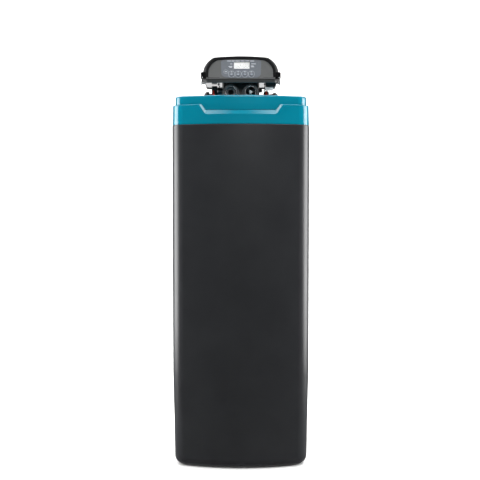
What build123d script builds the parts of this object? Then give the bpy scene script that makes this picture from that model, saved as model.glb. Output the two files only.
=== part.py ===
from build123d import *
import math
import os

os.makedirs("parts", exist_ok=True)

# Cabinet water softener. Millimetres, +Z up, front towards -Y.
# Origin: centre of the cabinet's footprint, on the floor.

# Driving dimensions of the cabinet
cabinet_width = 375.5
cabinet_depth = 500.0
cabinet_height = 933.0
front_bulge = 38.0
front_corner_radius = 45.0
rear_corner_radius = 30.0
body_wall = 5.0

# Driving dimensions of the cover that closes the cabinet
cover_wall = 3.2
lower_tier_height = 53.5
upper_tier_height = 24.5
hinge_line_y = -18.0

# Driving dimensions of the resin tank
tank_radius = 128.5
tank_rise = 9.3
tank_back_gap = 12.0
neck_radius = 43.0
neck_bore_radius = 31.3

# Driving dimensions of the control valve
port_rise = 107.7
port_spacing = 58.6
port_radius = 20.95
port_bore_radius = 14.3
hood_base_rise = 27.0
hood_reach = 96.5
hood_depth = 167.0
hood_height = 69.7

# Gaps, and the overrun that every cut shares
cut_overrun = 1.0
seat_gap = 0.3
shaft_clearance = 0.08


# Plan of the cabinet: flat back and sides, and a front bowed to one arc
front_arc_radius = ((cabinet_width / 2) ** 2 + front_bulge**2) / (2 * front_bulge)
front_arc_centre_y = front_arc_radius - cabinet_depth / 2
front_arc_axis = Axis((0, front_arc_centre_y, 0), (0, 0, 1))


def plan_outline(inset):
    """The cabinet's plan outline, drawn in by inset all round."""
    half_width = cabinet_width / 2
    half_depth = cabinet_depth / 2
    corner_y = front_bulge - half_depth
    with BuildSketch() as plan:
        with BuildLine():
            Polyline(
                (half_width, corner_y),
                (half_width, half_depth),
                (-half_width, half_depth),
                (-half_width, corner_y),
            )
            ThreePointArc((-half_width, corner_y), (0, -half_depth), (half_width, corner_y))
        make_face()
        corners = plan.vertices().group_by(Axis.Y)
        fillet(corners[-1], rear_corner_radius)
        front = plan.vertices().group_by(Axis.Y)[0]
        fillet(front, front_corner_radius)
        if inset:
            offset(amount=-inset)
    return plan.sketch


def drafted_block(low_z, high_z, low_inset, high_inset):
    """A solid between two levels whose plan draws in from one inset to another."""
    with BuildPart() as block:
        with BuildSketch(Plane.XY.offset(low_z)):
            add(plan_outline(low_inset))
        with BuildSketch(Plane.XY.offset(high_z)):
            add(plan_outline(high_inset))
        loft()
    return block.part


# Cabinet body: one moulded tub that holds the salt and stands on a foot ring
foot_inset = 6.0
taper_height = 260.0
bottom_edge_radius = 24.0
foot_ring_width = 34.0
foot_recess = 24.0
foot_rib_width = 14.0
rim_edge_radius = 1.2
overflow_drop = 127.0
overflow_x = -95.0
overflow_spigot_radius = 9.5
straight_height = cabinet_height - taper_height
overflow_height = cabinet_height - overflow_drop
tank_seat_z = foot_recess + body_wall

with BuildPart() as body_cavity:
    add(drafted_block(body_wall, taper_height, foot_inset + body_wall, body_wall))
    fillet(body_cavity.edges().group_by(Axis.Z)[0], bottom_edge_radius - body_wall)
    with BuildSketch(Plane.XY.offset(taper_height)):
        add(plan_outline(body_wall))
    extrude(amount=straight_height + cut_overrun)
    with BuildSketch():
        add(plan_outline(foot_inset + foot_ring_width - body_wall))
    extrude(amount=tank_seat_z, mode=Mode.SUBTRACT)

with BuildPart() as cabinet_body:
    add(drafted_block(0, taper_height, foot_inset, 0))
    fillet(cabinet_body.edges().group_by(Axis.Z)[0], bottom_edge_radius)
    with BuildSketch(Plane.XY.offset(taper_height)):
        add(plan_outline(0))
    extrude(amount=straight_height)
    fillet(cabinet_body.edges().group_by(Axis.Z)[-1], rim_edge_radius)
    add(body_cavity.part, mode=Mode.SUBTRACT)
    # recess inside the foot ring, with a cross of ribs left standing in it
    with BuildSketch():
        add(plan_outline(foot_inset + foot_ring_width))
        Rectangle(cabinet_width, foot_rib_width, mode=Mode.SUBTRACT)
        Rectangle(foot_rib_width, cabinet_depth, mode=Mode.SUBTRACT)
    extrude(amount=foot_recess, mode=Mode.SUBTRACT)
    with BuildSketch(Plane.XZ.offset(-cabinet_depth / 2 - cut_overrun)):
        with Locations((overflow_x, overflow_height)):
            Circle(overflow_spigot_radius + seat_gap)
    extrude(amount=body_wall + rear_corner_radius, mode=Mode.SUBTRACT)
cabinet_body.part.label = "cabinet_body"
export_step(cabinet_body.part, "parts/cabinet_body.step")

# Cover: a drafted lower tier round the rim, a fixed deck behind the hinge line with a
# well for the valve, and a salt opening in front of it
lower_inset = 1.0
lower_draft = 1.0
upper_step = 6.2
upper_draft = 1.0
upper_edge_radius = 4.0
ledge_edge_radius = 1.5
cover_reveal = 1.5
reveal_depth = 1.5
rim_gap = 0.6
lip_wall = 3.0
lip_depth = 12.0
opening_inset = 31.0
opening_back_gap = 21.0
opening_lip_height = 4.0
deck_front_gap = 3.2
tier_base_z = cabinet_height + cover_reveal
ledge_z = cabinet_height + lower_tier_height
cover_top_z = ledge_z + upper_tier_height
upper_inset = lower_inset + lower_draft + upper_step
top_inset = upper_inset + upper_draft

# Finger recess in the cover's front, under the lid's tongue
recess_top_half_width = 117.0
recess_bottom_half_width = 92.0
recess_height = 26.5
recess_slope_height = 11.0
recess_side_run = 10.6
recess_corner_radius = 16.0
lid_wall = 3.0
tongue_gap = 1.0
recess_surface_inset = lower_inset + lower_draft / 2
recess_depth = upper_inset - recess_surface_inset
recess_core_inset = upper_inset + lid_wall + tongue_gap
recess_low_z = ledge_z - recess_height
recess_shelf_z = recess_low_z + recess_slope_height
recess_reach = 10.0
recess_side_x = (recess_top_half_width + recess_bottom_half_width) / 2
recess_side_y = front_arc_centre_y - math.sqrt(front_arc_radius**2 - recess_side_x**2)
recess_face_y = recess_side_y + recess_surface_inset
recess_slant = (recess_top_half_width - recess_bottom_half_width) / recess_height
recess_splay = recess_side_run / recess_depth


def recess_prism(grow):
    """The tapering notch with slanting ends that the front recess follows, grown by a wall."""
    low_z = recess_low_z - grow
    high_z = ledge_z + recess_reach
    with BuildPart() as prism:
        for face_y in (-cabinet_depth / 2 - recess_reach, recess_face_y + 2 * recess_reach):
            spread = (recess_face_y - face_y) * recess_splay + grow
            low_half = recess_bottom_half_width - grow * recess_slant + spread
            high_half = recess_top_half_width + recess_reach * recess_slant + spread
            with BuildSketch(Plane.XZ.offset(-face_y)) as section:
                Polygon(
                    (-low_half, low_z),
                    (low_half, low_z),
                    (high_half, high_z),
                    (-high_half, high_z),
                    align=None,
                )
                fillet(section.vertices().group_by(Axis.Y)[0], recess_corner_radius + grow)
        loft()
    return prism.part


def front_ring(points):
    """A ring about the axis of the bowed front, from (inset, height) corners."""
    with BuildPart() as ring:
        with BuildSketch(Plane.YZ):
            Polygon(*[(inset - cabinet_depth / 2, z) for inset, z in points], align=None)
        revolve(axis=front_arc_axis)
    return ring.part


def finger_recess(grow):
    """Everything cut away in front of the recess wall; grown, it is the space behind the wall."""
    slope = recess_slope_height / recess_depth
    outer_inset = -recess_reach
    with BuildPart() as recess:
        add(recess_prism(grow))
        add(
            front_ring(
                [
                    (recess_core_inset + grow, ledge_z + recess_reach),
                    (recess_core_inset + grow, recess_shelf_z - grow),
                    (upper_inset, recess_shelf_z - grow),
                    (outer_inset, recess_shelf_z - grow - slope * (upper_inset - outer_inset)),
                    (outer_inset, ledge_z + recess_reach),
                ]
            ),
            mode=Mode.INTERSECT,
        )
    return recess.part


def upper_tier(grow_in, top_z):
    """The upper tier's outer form, or the hollow inside it when drawn in by a wall."""
    with BuildPart() as tier:
        add(drafted_block(ledge_z, top_z, upper_inset + grow_in, top_inset + grow_in))
        fillet(tier.edges().group_by(Axis.Z)[-1], upper_edge_radius)
    return tier.part


# Well in the deck that the valve stands in
well_half_width = 140.0
well_front_y = 16.0
well_back_y = 196.0
well_corner_radius = 28.0
well_depth = 26.0
well_hole_radius = 62.0
line_hole_radius = 8.0
line_drop_x = 130.0
side_fitting_forward = 12.5
tank_y = cabinet_depth / 2 - body_wall - tank_back_gap - tank_radius
well_floor_z = cover_top_z - well_depth
line_drop_y = tank_y - side_fitting_forward
deck_front_y = hinge_line_y + deck_front_gap

# Hinge between the deck and the lid: deck, lid and deck knuckles on one pin at each side
hinge_x = 110.0
hinge_drop = 2.0
lid_back_gap = 2.0
knuckle_radius = 4.5
deck_knuckle_length = 8.0
lid_knuckle_length = 11.0
knuckle_gap = 0.5
knuckle_relief = 0.8
pin_radius = 2.0
hinge_z = cover_top_z - hinge_drop
lid_back_y = hinge_line_y - lid_back_gap
pin_half_length = lid_knuckle_length / 2 + knuckle_gap + deck_knuckle_length


def rod_along_x(start_x, length, centre_y, centre_z, radius):
    """A round rod or bore along X."""
    with BuildPart() as rod:
        with BuildSketch(Plane.YZ.offset(start_x)):
            with Locations((centre_y, centre_z)):
                Circle(radius)
        extrude(amount=length)
    return rod.part


def deck_knuckles(radius, spare):
    """The deck's four knuckles, or the relief round them."""
    rods = []
    for side in (-1, 1):
        for end in (-1, 1):
            inner = lid_knuckle_length / 2 + knuckle_gap
            centre_x = side * hinge_x + end * (inner + deck_knuckle_length / 2)
            start_x = centre_x - deck_knuckle_length / 2 - spare
            length = deck_knuckle_length + 2 * spare
            rods.append(rod_along_x(start_x, length, hinge_line_y, hinge_z, radius))
    return rods


def lid_knuckles(radius, spare):
    """The lid's two knuckles, or the relief round them."""
    rods = []
    for side in (-1, 1):
        start_x = side * hinge_x - lid_knuckle_length / 2 - spare
        length = lid_knuckle_length + 2 * spare
        rods.append(rod_along_x(start_x, length, hinge_line_y, hinge_z, radius))
    return rods


def pin_rods(radius):
    """The two hinge pins, or the bores for them."""
    rods = []
    for side in (-1, 1):
        start_x = side * hinge_x - pin_half_length
        rods.append(rod_along_x(start_x, 2 * pin_half_length, hinge_line_y, hinge_z, radius))
    return rods


def opening_outline(grow):
    """The salt opening's outline, or its upstand when grown by a wall."""
    back_y = hinge_line_y - opening_back_gap + grow
    with BuildSketch() as outline:
        add(plan_outline(opening_inset - grow))
        with Locations((0, back_y)):
            Rectangle(
                cabinet_width,
                cabinet_depth,
                align=(Align.CENTER, Align.MIN),
                mode=Mode.SUBTRACT,
            )
        fillet(outline.vertices().group_by(Axis.Y)[-1], opening_corner_radius + grow)
    return outline.sketch


def well_outline(grow):
    """The valve well's outline in the deck, or its wall when grown."""
    width = 2 * (well_half_width + grow)
    depth = well_back_y - well_front_y + 2 * grow
    with BuildSketch() as outline:
        with Locations((0, (well_front_y + well_back_y) / 2)):
            RectangleRounded(width, depth, well_corner_radius + grow)
    return outline.sketch


# Top cover
opening_corner_radius = 14.0
flange_depth = 3.0

with BuildPart() as cover_hollow:
    add(
        drafted_block(
            tier_base_z,
            ledge_z - cover_wall,
            lower_inset + cover_wall,
            lower_inset + lower_draft + cover_wall,
        )
    )
    add(finger_recess(cover_wall), mode=Mode.SUBTRACT)

with BuildPart() as deck_hollow:
    add(
        drafted_block(
            ledge_z - 2 * cover_wall,
            cover_top_z - cover_wall,
            upper_inset + cover_wall,
            top_inset + cover_wall,
        )
    )
    split(bisect_by=Plane.XZ.offset(-deck_front_y - cover_wall), keep=Keep.BOTTOM)

with BuildPart() as deck_block:
    add(upper_tier(0, cover_top_z))
    split(bisect_by=Plane.XZ.offset(-deck_front_y), keep=Keep.BOTTOM)

with BuildPart() as top_cover:
    add(drafted_block(tier_base_z, ledge_z, lower_inset, lower_inset + lower_draft))
    fillet(top_cover.edges().group_by(Axis.Z)[-1], ledge_edge_radius)
    add(deck_block.part)
    add(finger_recess(0), mode=Mode.SUBTRACT)
    add(cover_hollow.part, mode=Mode.SUBTRACT)
    add(deck_hollow.part, mode=Mode.SUBTRACT)
    # seat flange behind the reveal, and the lip that drops inside the body's rim
    with BuildSketch(Plane.XY.offset(cabinet_height)):
        add(plan_outline(lower_inset + reveal_depth))
        add(plan_outline(body_wall + rim_gap + lip_wall), mode=Mode.SUBTRACT)
    extrude(amount=cover_reveal + flange_depth)
    with BuildSketch(Plane.XY.offset(cabinet_height - lip_depth)):
        add(plan_outline(body_wall + rim_gap))
        add(plan_outline(body_wall + rim_gap + lip_wall), mode=Mode.SUBTRACT)
    extrude(amount=lip_depth + cover_reveal)
    # upstand round the salt opening
    with BuildSketch(Plane.XY.offset(ledge_z - cover_wall)):
        add(opening_outline(cover_wall))
    extrude(amount=cover_wall + opening_lip_height)
    with BuildSketch(Plane.XY.offset(ledge_z - cover_wall - cut_overrun)):
        add(opening_outline(0))
    extrude(amount=cover_wall + opening_lip_height + 2 * cut_overrun, mode=Mode.SUBTRACT)
    # well for the valve
    with BuildSketch(Plane.XY.offset(well_floor_z - cover_wall)):
        add(well_outline(cover_wall))
    extrude(amount=cover_top_z - well_floor_z + cover_wall)
    with BuildSketch(Plane.XY.offset(well_floor_z)):
        add(well_outline(0))
    extrude(amount=cover_top_z - well_floor_z + cut_overrun, mode=Mode.SUBTRACT)
    with BuildSketch(Plane.XY.offset(well_floor_z + cut_overrun)):
        with Locations((0, tank_y)):
            Circle(well_hole_radius)
        with Locations((line_drop_x, line_drop_y)):
            Circle(line_hole_radius)
    extrude(amount=-cover_wall - 2 * cut_overrun, mode=Mode.SUBTRACT)
    # knuckles of the lid's hinge
    add(lid_knuckles(knuckle_radius + knuckle_relief, knuckle_gap), mode=Mode.SUBTRACT)
    add(deck_knuckles(knuckle_radius, 0))
    add(pin_rods(pin_radius + shaft_clearance), mode=Mode.SUBTRACT)
top_cover.part.label = "top_cover"
export_step(top_cover.part, "parts/top_cover.step")

# Salt lid: the front half of the upper tier, with a tongue that fills the finger recess
lid_rest_gap = 0.4
tongue_overlap = 1.0

with BuildPart() as lid_hollow:
    add(
        drafted_block(
            ledge_z - cut_overrun,
            cover_top_z - lid_wall,
            upper_inset + lid_wall,
            top_inset + lid_wall,
        )
    )
    split(bisect_by=Plane.XZ.offset(-lid_back_y + lid_wall), keep=Keep.TOP)

with BuildPart() as lid_tongue:
    add(recess_prism(-tongue_gap))
    add(
        front_ring(
            [
                (upper_inset, recess_shelf_z + tongue_gap),
                (upper_inset + lid_wall, recess_shelf_z + tongue_gap),
                (upper_inset + lid_wall, ledge_z + lid_rest_gap + tongue_overlap),
                (upper_inset, ledge_z + lid_rest_gap + tongue_overlap),
            ]
        ),
        mode=Mode.INTERSECT,
    )

with BuildPart() as salt_lid:
    add(upper_tier(0, cover_top_z))
    split(bisect_by=Plane.XZ.offset(-lid_back_y), keep=Keep.TOP)
    split(bisect_by=Plane.XY.offset(ledge_z + lid_rest_gap), keep=Keep.TOP)
    add(lid_hollow.part, mode=Mode.SUBTRACT)
    add(lid_tongue.part)
    add(deck_knuckles(knuckle_radius + knuckle_relief, knuckle_gap), mode=Mode.SUBTRACT)
    add(lid_knuckles(knuckle_radius, 0))
    add(pin_rods(pin_radius + shaft_clearance), mode=Mode.SUBTRACT)
salt_lid.part.label = "salt_lid"
export_step(salt_lid.part, "parts/salt_lid.step")

# Hinge pins of the salt lid
with BuildPart() as hinge_pins:
    add(pin_rods(pin_radius))
hinge_pins.part.label = "hinge_pins"
export_step(hinge_pins.part, "parts/hinge_pins.step")

# Tank boot: a ring cup that stands the round tank on the cabinet's raised floor
boot_wall = 3.0
boot_height = 62.0
boot_drain_radius = 40.0

with BuildPart() as tank_boot:
    with BuildSketch(Plane.XY.offset(tank_seat_z)):
        with Locations((0, tank_y)):
            Circle(tank_radius + seat_gap + boot_wall)
    extrude(amount=boot_height)
    chamfer(tank_boot.edges().group_by(Axis.Z)[-1], boot_wall / 2)
    with BuildSketch(Plane.XY.offset(tank_seat_z + boot_wall)):
        with Locations((0, tank_y)):
            Circle(tank_radius + seat_gap)
    extrude(amount=boot_height, mode=Mode.SUBTRACT)
    with BuildSketch(Plane.XY.offset(tank_seat_z)):
        with Locations((0, tank_y)):
            Circle(boot_drain_radius)
    extrude(amount=boot_wall, mode=Mode.SUBTRACT)
tank_boot.part.label = "tank_boot"
export_step(tank_boot.part, "parts/tank_boot.step")

# Resin tank: a wound pressure vessel with domed ends and a threaded neck
tank_wall = 4.0
bottom_dome = 62.0
top_dome = 74.0
neck_length = 22.0
tank_base_z = tank_seat_z + boot_wall + seat_gap
tank_top_z = cabinet_height + tank_rise
tank_height = tank_top_z - tank_base_z
low_shoulder_z = tank_base_z + bottom_dome
neck_root_z = tank_top_z - neck_length
high_shoulder_z = neck_root_z - top_dome * math.sqrt(1 - (neck_radius / tank_radius) ** 2)
tank_axis = Axis((0, tank_y, 0), (0, 0, 1))


def tank_form(inset):
    """The tank's outer form, or its inside when drawn in by the wall."""
    radius = tank_radius - inset
    barrel = high_shoulder_z - low_shoulder_z
    with BuildPart() as form:
        with BuildSketch(Plane.XZ.offset(-tank_y)):
            with Locations((0, low_shoulder_z)):
                Ellipse(radius, bottom_dome - inset)
                Rectangle(2 * radius, barrel, align=(Align.CENTER, Align.MIN))
            with Locations((0, high_shoulder_z)):
                Ellipse(radius, top_dome - inset)
            with Locations((0, low_shoulder_z)):
                Rectangle(
                    2 * tank_radius,
                    2 * tank_height,
                    align=(Align.MAX, Align.CENTER),
                    mode=Mode.SUBTRACT,
                )
        revolve(axis=tank_axis)
    return form.part


def upright(centre_x, centre_y, low_z, high_z, radius):
    """A round upright post or bore between two levels."""
    with BuildPart() as post:
        with BuildSketch(Plane.XY.offset(low_z)):
            with Locations((centre_x, centre_y)):
                Circle(radius)
        extrude(amount=high_z - low_z)
    return post.part


with BuildPart() as resin_tank:
    add(tank_form(0))
    add(upright(0, tank_y, high_shoulder_z, tank_top_z, neck_radius))
    add(tank_form(tank_wall), mode=Mode.SUBTRACT)
    neck_low_z = high_shoulder_z + tank_wall
    add(
        upright(0, tank_y, neck_low_z, tank_top_z + cut_overrun, neck_bore_radius),
        mode=Mode.SUBTRACT,
    )
resin_tank.part.label = "resin_tank"
export_step(resin_tank.part, "parts/resin_tank.step")

# Riser tube and the strainer baskets at its two ends
riser_radius = 13.35
riser_wall = 2.0
riser_standoff = 6.0
riser_stick_up = 12.0
basket_radius = 27.0
basket_height = 58.0
basket_wall = 2.5
basket_slot_width = 2.4
basket_slot_count = 12
dome_rise_share = 1 - math.sqrt(1 - (basket_radius / (tank_radius - tank_wall)) ** 2)
basket_seat_z = tank_base_z + tank_wall + seat_gap + (bottom_dome - tank_wall) * dome_rise_share
riser_low_z = basket_seat_z + riser_standoff
riser_top_z = tank_top_z + riser_stick_up

with BuildPart() as riser_tube:
    add(upright(0, tank_y, riser_low_z, riser_top_z, riser_radius))
    add(
        upright(
            0,
            tank_y,
            riser_low_z - cut_overrun,
            riser_top_z + cut_overrun,
            riser_radius - riser_wall,
        ),
        mode=Mode.SUBTRACT,
    )
riser_tube.part.label = "riser_tube"
export_step(riser_tube.part, "parts/riser_tube.step")


def basket(base_z, height, tube_radius):
    """A slotted strainer cup round the riser tube, standing on its base."""
    slot_margin = basket_wall + basket_slot_width
    with BuildPart() as cup:
        with BuildSketch(Plane.XY.offset(base_z)):
            with Locations((0, tank_y)):
                Circle(basket_radius)
        extrude(amount=height)
        with BuildSketch(Plane.XY.offset(base_z + basket_wall)):
            with Locations((0, tank_y)):
                Circle(basket_radius - basket_wall)
        extrude(amount=height - 2 * basket_wall, mode=Mode.SUBTRACT)
        with BuildSketch(Plane.XY.offset(base_z + slot_margin)):
            with Locations((0, tank_y)):
                with PolarLocations(basket_radius, basket_slot_count):
                    Rectangle(3 * basket_wall, basket_slot_width)
        extrude(amount=height - 2 * slot_margin, mode=Mode.SUBTRACT)
        with BuildSketch(Plane.XY.offset(base_z + basket_wall)):
            with Locations((0, tank_y)):
                Circle(tube_radius)
        extrude(amount=height, mode=Mode.SUBTRACT)
    return cup.part


with BuildPart() as bottom_basket:
    add(basket(basket_seat_z, basket_height, riser_radius + shaft_clearance))
bottom_basket.part.label = "bottom_basket"
export_step(bottom_basket.part, "parts/bottom_basket.step")

# Control valve: a collar that screws onto the tank's neck, a waist, and a block that
# carries the two service ports in front and a round disc chamber on top
neck_seal_height = 2.0
neck_seal_inner_radius = 33.0
neck_seal_outer_radius = 39.5
collar_radius = 46.0
collar_height = 34.0
collar_grip_radius = 4.0
collar_grip_count = 14
waist_radius = 38.0
male_neck_radius = 31.0
male_neck_length = 21.0
neck_passage_radius = 26.0
block_half_width = 55.5
block_depth = 85.0
block_height = 60.0
block_corner_radius = 9.0
chamber_radius = 30.0
chamber_depth = 34.0
rib_width = 5.0
rib_depth = 7.0
port_bore_depth = 12.0
port_thread_radius = 23.4
port_thread_length = 11.0
side_socket_radius = 7.0
side_socket_depth = 12.0
collar_base_z = tank_top_z + neck_seal_height
collar_top_z = collar_base_z + collar_height
port_z = tank_top_z + port_rise
block_top_z = port_z + hood_base_rise
block_base_z = block_top_z - block_height
block_front_y = tank_y - block_depth / 2
block_back_y = tank_y + block_depth / 2
chamber_floor_z = block_top_z - chamber_depth
port_x = port_spacing / 2
port_end_y = block_front_y - port_thread_length

with BuildPart() as neck_seal:
    with BuildSketch(Plane.XY.offset(tank_top_z)):
        with Locations((0, tank_y)):
            Circle(neck_seal_outer_radius)
            Circle(neck_seal_inner_radius, mode=Mode.SUBTRACT)
    extrude(amount=neck_seal_height)
neck_seal.part.label = "neck_seal"
export_step(neck_seal.part, "parts/neck_seal.step")


def rod_along_y(centre_x, centre_z, start_y, length, radius):
    """A round rod or bore along Y, away from the front."""
    with BuildPart() as rod:
        with BuildSketch(Plane.XZ.offset(-start_y)):
            with Locations((centre_x, centre_z)):
                Circle(radius)
        extrude(amount=-length)
    return rod.part


# Fittings in the valve's sides
drain_neck_z = port_z
probe_radius = 8.2
probe_rise = 7.0
probe_forward = 34.5
probe_tip_radius = 5.0
probe_tip_length = 10.0
probe_length = 15.0
probe_z = port_z + probe_rise
probe_y = tank_y - probe_forward
sensor_radius = 5.0
sensor_length = 9.0
side_fitting_y = tank_y - side_fitting_forward
brine_neck_drop = 9.5
brine_neck_z = port_z - brine_neck_drop
injector_x = 28.0
injector_cap_radius = 11.0
injector_bore_radius = 7.0
injector_bore_depth = 9.5
screw_ring_radius = 35.0
screw_radius = 2.0
screw_length = 14.0
screw_count = 6

with BuildPart() as valve_body:
    # block with rounded upright corners
    with BuildSketch(Plane.XY.offset(block_base_z)):
        with Locations((0, tank_y)):
            RectangleRounded(2 * block_half_width, block_depth, block_corner_radius)
    extrude(amount=block_height)
    chamfer(valve_body.edges().group_by(Axis.Z)[0], block_corner_radius / 2)
    # rib between the two ports
    with BuildSketch(Plane.XY.offset(block_base_z + block_corner_radius)):
        with Locations((0, block_front_y)):
            Rectangle(rib_width, 2 * rib_depth)
    extrude(amount=block_height - block_corner_radius)
    # waist, threaded collar with finger grips, and the male neck below it
    add(upright(0, tank_y, collar_top_z, block_base_z, waist_radius))
    with BuildSketch(Plane.XY.offset(collar_base_z)):
        with Locations((0, tank_y)):
            Circle(collar_radius)
            with PolarLocations(collar_radius + collar_grip_radius / 2, collar_grip_count):
                Circle(collar_grip_radius, mode=Mode.SUBTRACT)
    extrude(amount=collar_height)
    add(upright(0, tank_y, tank_top_z - male_neck_length, collar_base_z, male_neck_radius))
    # threaded ends of the two ports
    for side in (-1, 1):
        add(rod_along_y(side * port_x, port_z, port_end_y, port_thread_length, port_thread_radius))
    for side in (-1, 1):
        bore_depth = port_thread_length + port_bore_depth + cut_overrun
        bore_start_y = port_end_y - cut_overrun
        add(
            rod_along_y(side * port_x, port_z, bore_start_y, bore_depth, port_bore_radius),
            mode=Mode.SUBTRACT,
        )
    # disc chamber
    add(
        upright(0, tank_y, chamber_floor_z, block_top_z + cut_overrun, chamber_radius),
        mode=Mode.SUBTRACT,
    )
    with BuildSketch(Plane.XY.offset(block_top_z + cut_overrun)):
        with Locations((0, tank_y)):
            with PolarLocations(screw_ring_radius, screw_count):
                Circle(screw_radius + shaft_clearance)
    extrude(amount=-screw_length - cut_overrun, mode=Mode.SUBTRACT)
    # passages up the neck, and the seat of the riser tube
    passage_low_z = tank_top_z - male_neck_length - cut_overrun
    add(
        upright(0, tank_y, passage_low_z, tank_top_z, neck_passage_radius),
        mode=Mode.SUBTRACT,
    )
    add(
        upright(0, tank_y, tank_top_z - cut_overrun, collar_top_z, riser_radius + shaft_clearance),
        mode=Mode.SUBTRACT,
    )
    # sockets in the two sides and in the back
    add(
        rod_along_x(
            -block_half_width - cut_overrun,
            side_socket_depth + cut_overrun,
            side_fitting_y,
            drain_neck_z,
            side_socket_radius + shaft_clearance,
        ),
        mode=Mode.SUBTRACT,
    )
    add(
        rod_along_x(
            block_half_width - side_socket_depth,
            side_socket_depth + cut_overrun,
            side_fitting_y,
            brine_neck_z,
            side_socket_radius + shaft_clearance,
        ),
        mode=Mode.SUBTRACT,
    )
    add(
        rod_along_x(
            -block_half_width - cut_overrun,
            probe_tip_length + cut_overrun + seat_gap,
            probe_y,
            probe_z,
            probe_tip_radius + shaft_clearance,
        ),
        mode=Mode.SUBTRACT,
    )
    add(
        rod_along_y(
            injector_x,
            port_z,
            block_back_y - injector_bore_depth,
            injector_bore_depth + cut_overrun,
            injector_bore_radius + shaft_clearance,
        ),
        mode=Mode.SUBTRACT,
    )
valve_body.part.label = "valve_body"
export_step(valve_body.part, "parts/valve_body.step")

# Top basket: hangs under the valve's male neck, inside the tank's neck
top_basket_height = 30.0
top_basket_top_z = tank_top_z - male_neck_length

with BuildPart() as top_basket:
    add(
        basket(
            top_basket_top_z - top_basket_height,
            top_basket_height,
            riser_radius + shaft_clearance,
        )
    )
    add(
        upright(
            0,
            tank_y,
            top_basket_top_z - top_basket_height - cut_overrun,
            top_basket_top_z + cut_overrun,
            riser_radius + shaft_clearance,
        ),
        mode=Mode.SUBTRACT,
    )
top_basket.part.label = "top_basket"
export_step(top_basket.part, "parts/top_basket.step")

# Resin bed: fills the lower part of the tank round the riser and its basket
resin_gap = 0.3
resin_height = 600.0

with BuildPart() as resin_bed:
    add(tank_form(tank_wall + resin_gap))
    split(bisect_by=Plane.XY.offset(tank_base_z + resin_height), keep=Keep.BOTTOM)
    add(
        upright(
            0,
            tank_y,
            tank_base_z,
            basket_seat_z + basket_height + resin_gap,
            basket_radius + resin_gap,
        ),
        mode=Mode.SUBTRACT,
    )
    add(
        upright(0, tank_y, tank_base_z, tank_top_z, riser_radius + resin_gap),
        mode=Mode.SUBTRACT,
    )
resin_bed.part.label = "resin_bed"
export_step(resin_bed.part, "parts/resin_bed.step")

# Ceramic discs in the chamber, and the cap that holds them down
fixed_disc_height = 9.0
moving_disc_height = 9.0
disc_gap = 0.1
disc_hole_radius = 5.0
disc_hole_ring_radius = 17.0
disc_hole_count = 6
drive_shaft_radius = 7.0
cap_flange_radius = 40.0
cap_flange_height = 6.0
cap_plug_height = 8.0
cap_sleeve_radius = 11.0
cap_sleeve_height = 13.0
gear_lift = 0.3
gear_hub_height = 14.0
moving_disc_base_z = chamber_floor_z + fixed_disc_height + disc_gap
cap_top_z = block_top_z + cap_flange_height
sleeve_top_z = block_top_z + cap_sleeve_height
gear_base_z = sleeve_top_z + gear_lift
shaft_top_z = gear_base_z + gear_hub_height

with BuildPart() as fixed_disc:
    with BuildSketch(Plane.XY.offset(chamber_floor_z)):
        with Locations((0, tank_y)):
            Circle(chamber_radius - seat_gap)
            with PolarLocations(disc_hole_ring_radius, disc_hole_count):
                Circle(disc_hole_radius, mode=Mode.SUBTRACT)
    extrude(amount=fixed_disc_height)
fixed_disc.part.label = "fixed_disc"
export_step(fixed_disc.part, "parts/fixed_disc.step")

with BuildPart() as moving_disc:
    with BuildSketch(Plane.XY.offset(moving_disc_base_z)):
        with Locations((0, tank_y)):
            Circle(chamber_radius - 2 * seat_gap)
            with Locations((disc_hole_ring_radius, 0)):
                Circle(disc_hole_radius, mode=Mode.SUBTRACT)
    extrude(amount=moving_disc_height)
    add(
        upright(0, tank_y, moving_disc_base_z + moving_disc_height, shaft_top_z, drive_shaft_radius)
    )
moving_disc.part.label = "moving_disc"
export_step(moving_disc.part, "parts/moving_disc.step")

with BuildPart() as chamber_cap:
    add(upright(0, tank_y, block_top_z - cap_plug_height, block_top_z, chamber_radius - seat_gap))
    add(upright(0, tank_y, block_top_z, cap_top_z, cap_flange_radius))
    add(upright(0, tank_y, cap_top_z, sleeve_top_z, cap_sleeve_radius))
    with BuildSketch(Plane.XY.offset(block_top_z - cap_plug_height - cut_overrun)):
        with Locations((0, tank_y)):
            Circle(drive_shaft_radius + shaft_clearance)
    extrude(amount=cap_plug_height + cap_sleeve_height + 2 * cut_overrun, mode=Mode.SUBTRACT)
    with BuildSketch(Plane.XY.offset(block_top_z - cut_overrun)):
        with Locations((0, tank_y)):
            with PolarLocations(screw_ring_radius, screw_count):
                Circle(screw_radius + shaft_clearance)
    extrude(amount=cap_flange_height + 2 * cut_overrun, mode=Mode.SUBTRACT)
chamber_cap.part.label = "chamber_cap"
export_step(chamber_cap.part, "parts/chamber_cap.step")

# Screws of the chamber cap: hexagon heads on plain shanks
screw_head_radius = 4.0
screw_head_height = 3.0

with BuildPart() as cap_screws:
    with BuildSketch(Plane.XY.offset(block_top_z - screw_length + seat_gap)):
        with Locations((0, tank_y)):
            with PolarLocations(screw_ring_radius, screw_count):
                Circle(screw_radius)
    extrude(amount=screw_length - seat_gap + cap_flange_height)
    with BuildSketch(Plane.XY.offset(cap_top_z)):
        with Locations((0, tank_y)):
            with PolarLocations(screw_ring_radius, screw_count):
                RegularPolygon(screw_head_radius, 6)
    extrude(amount=screw_head_height)
cap_screws.part.label = "cap_screws"
export_step(cap_screws.part, "parts/cap_screws.step")

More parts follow.
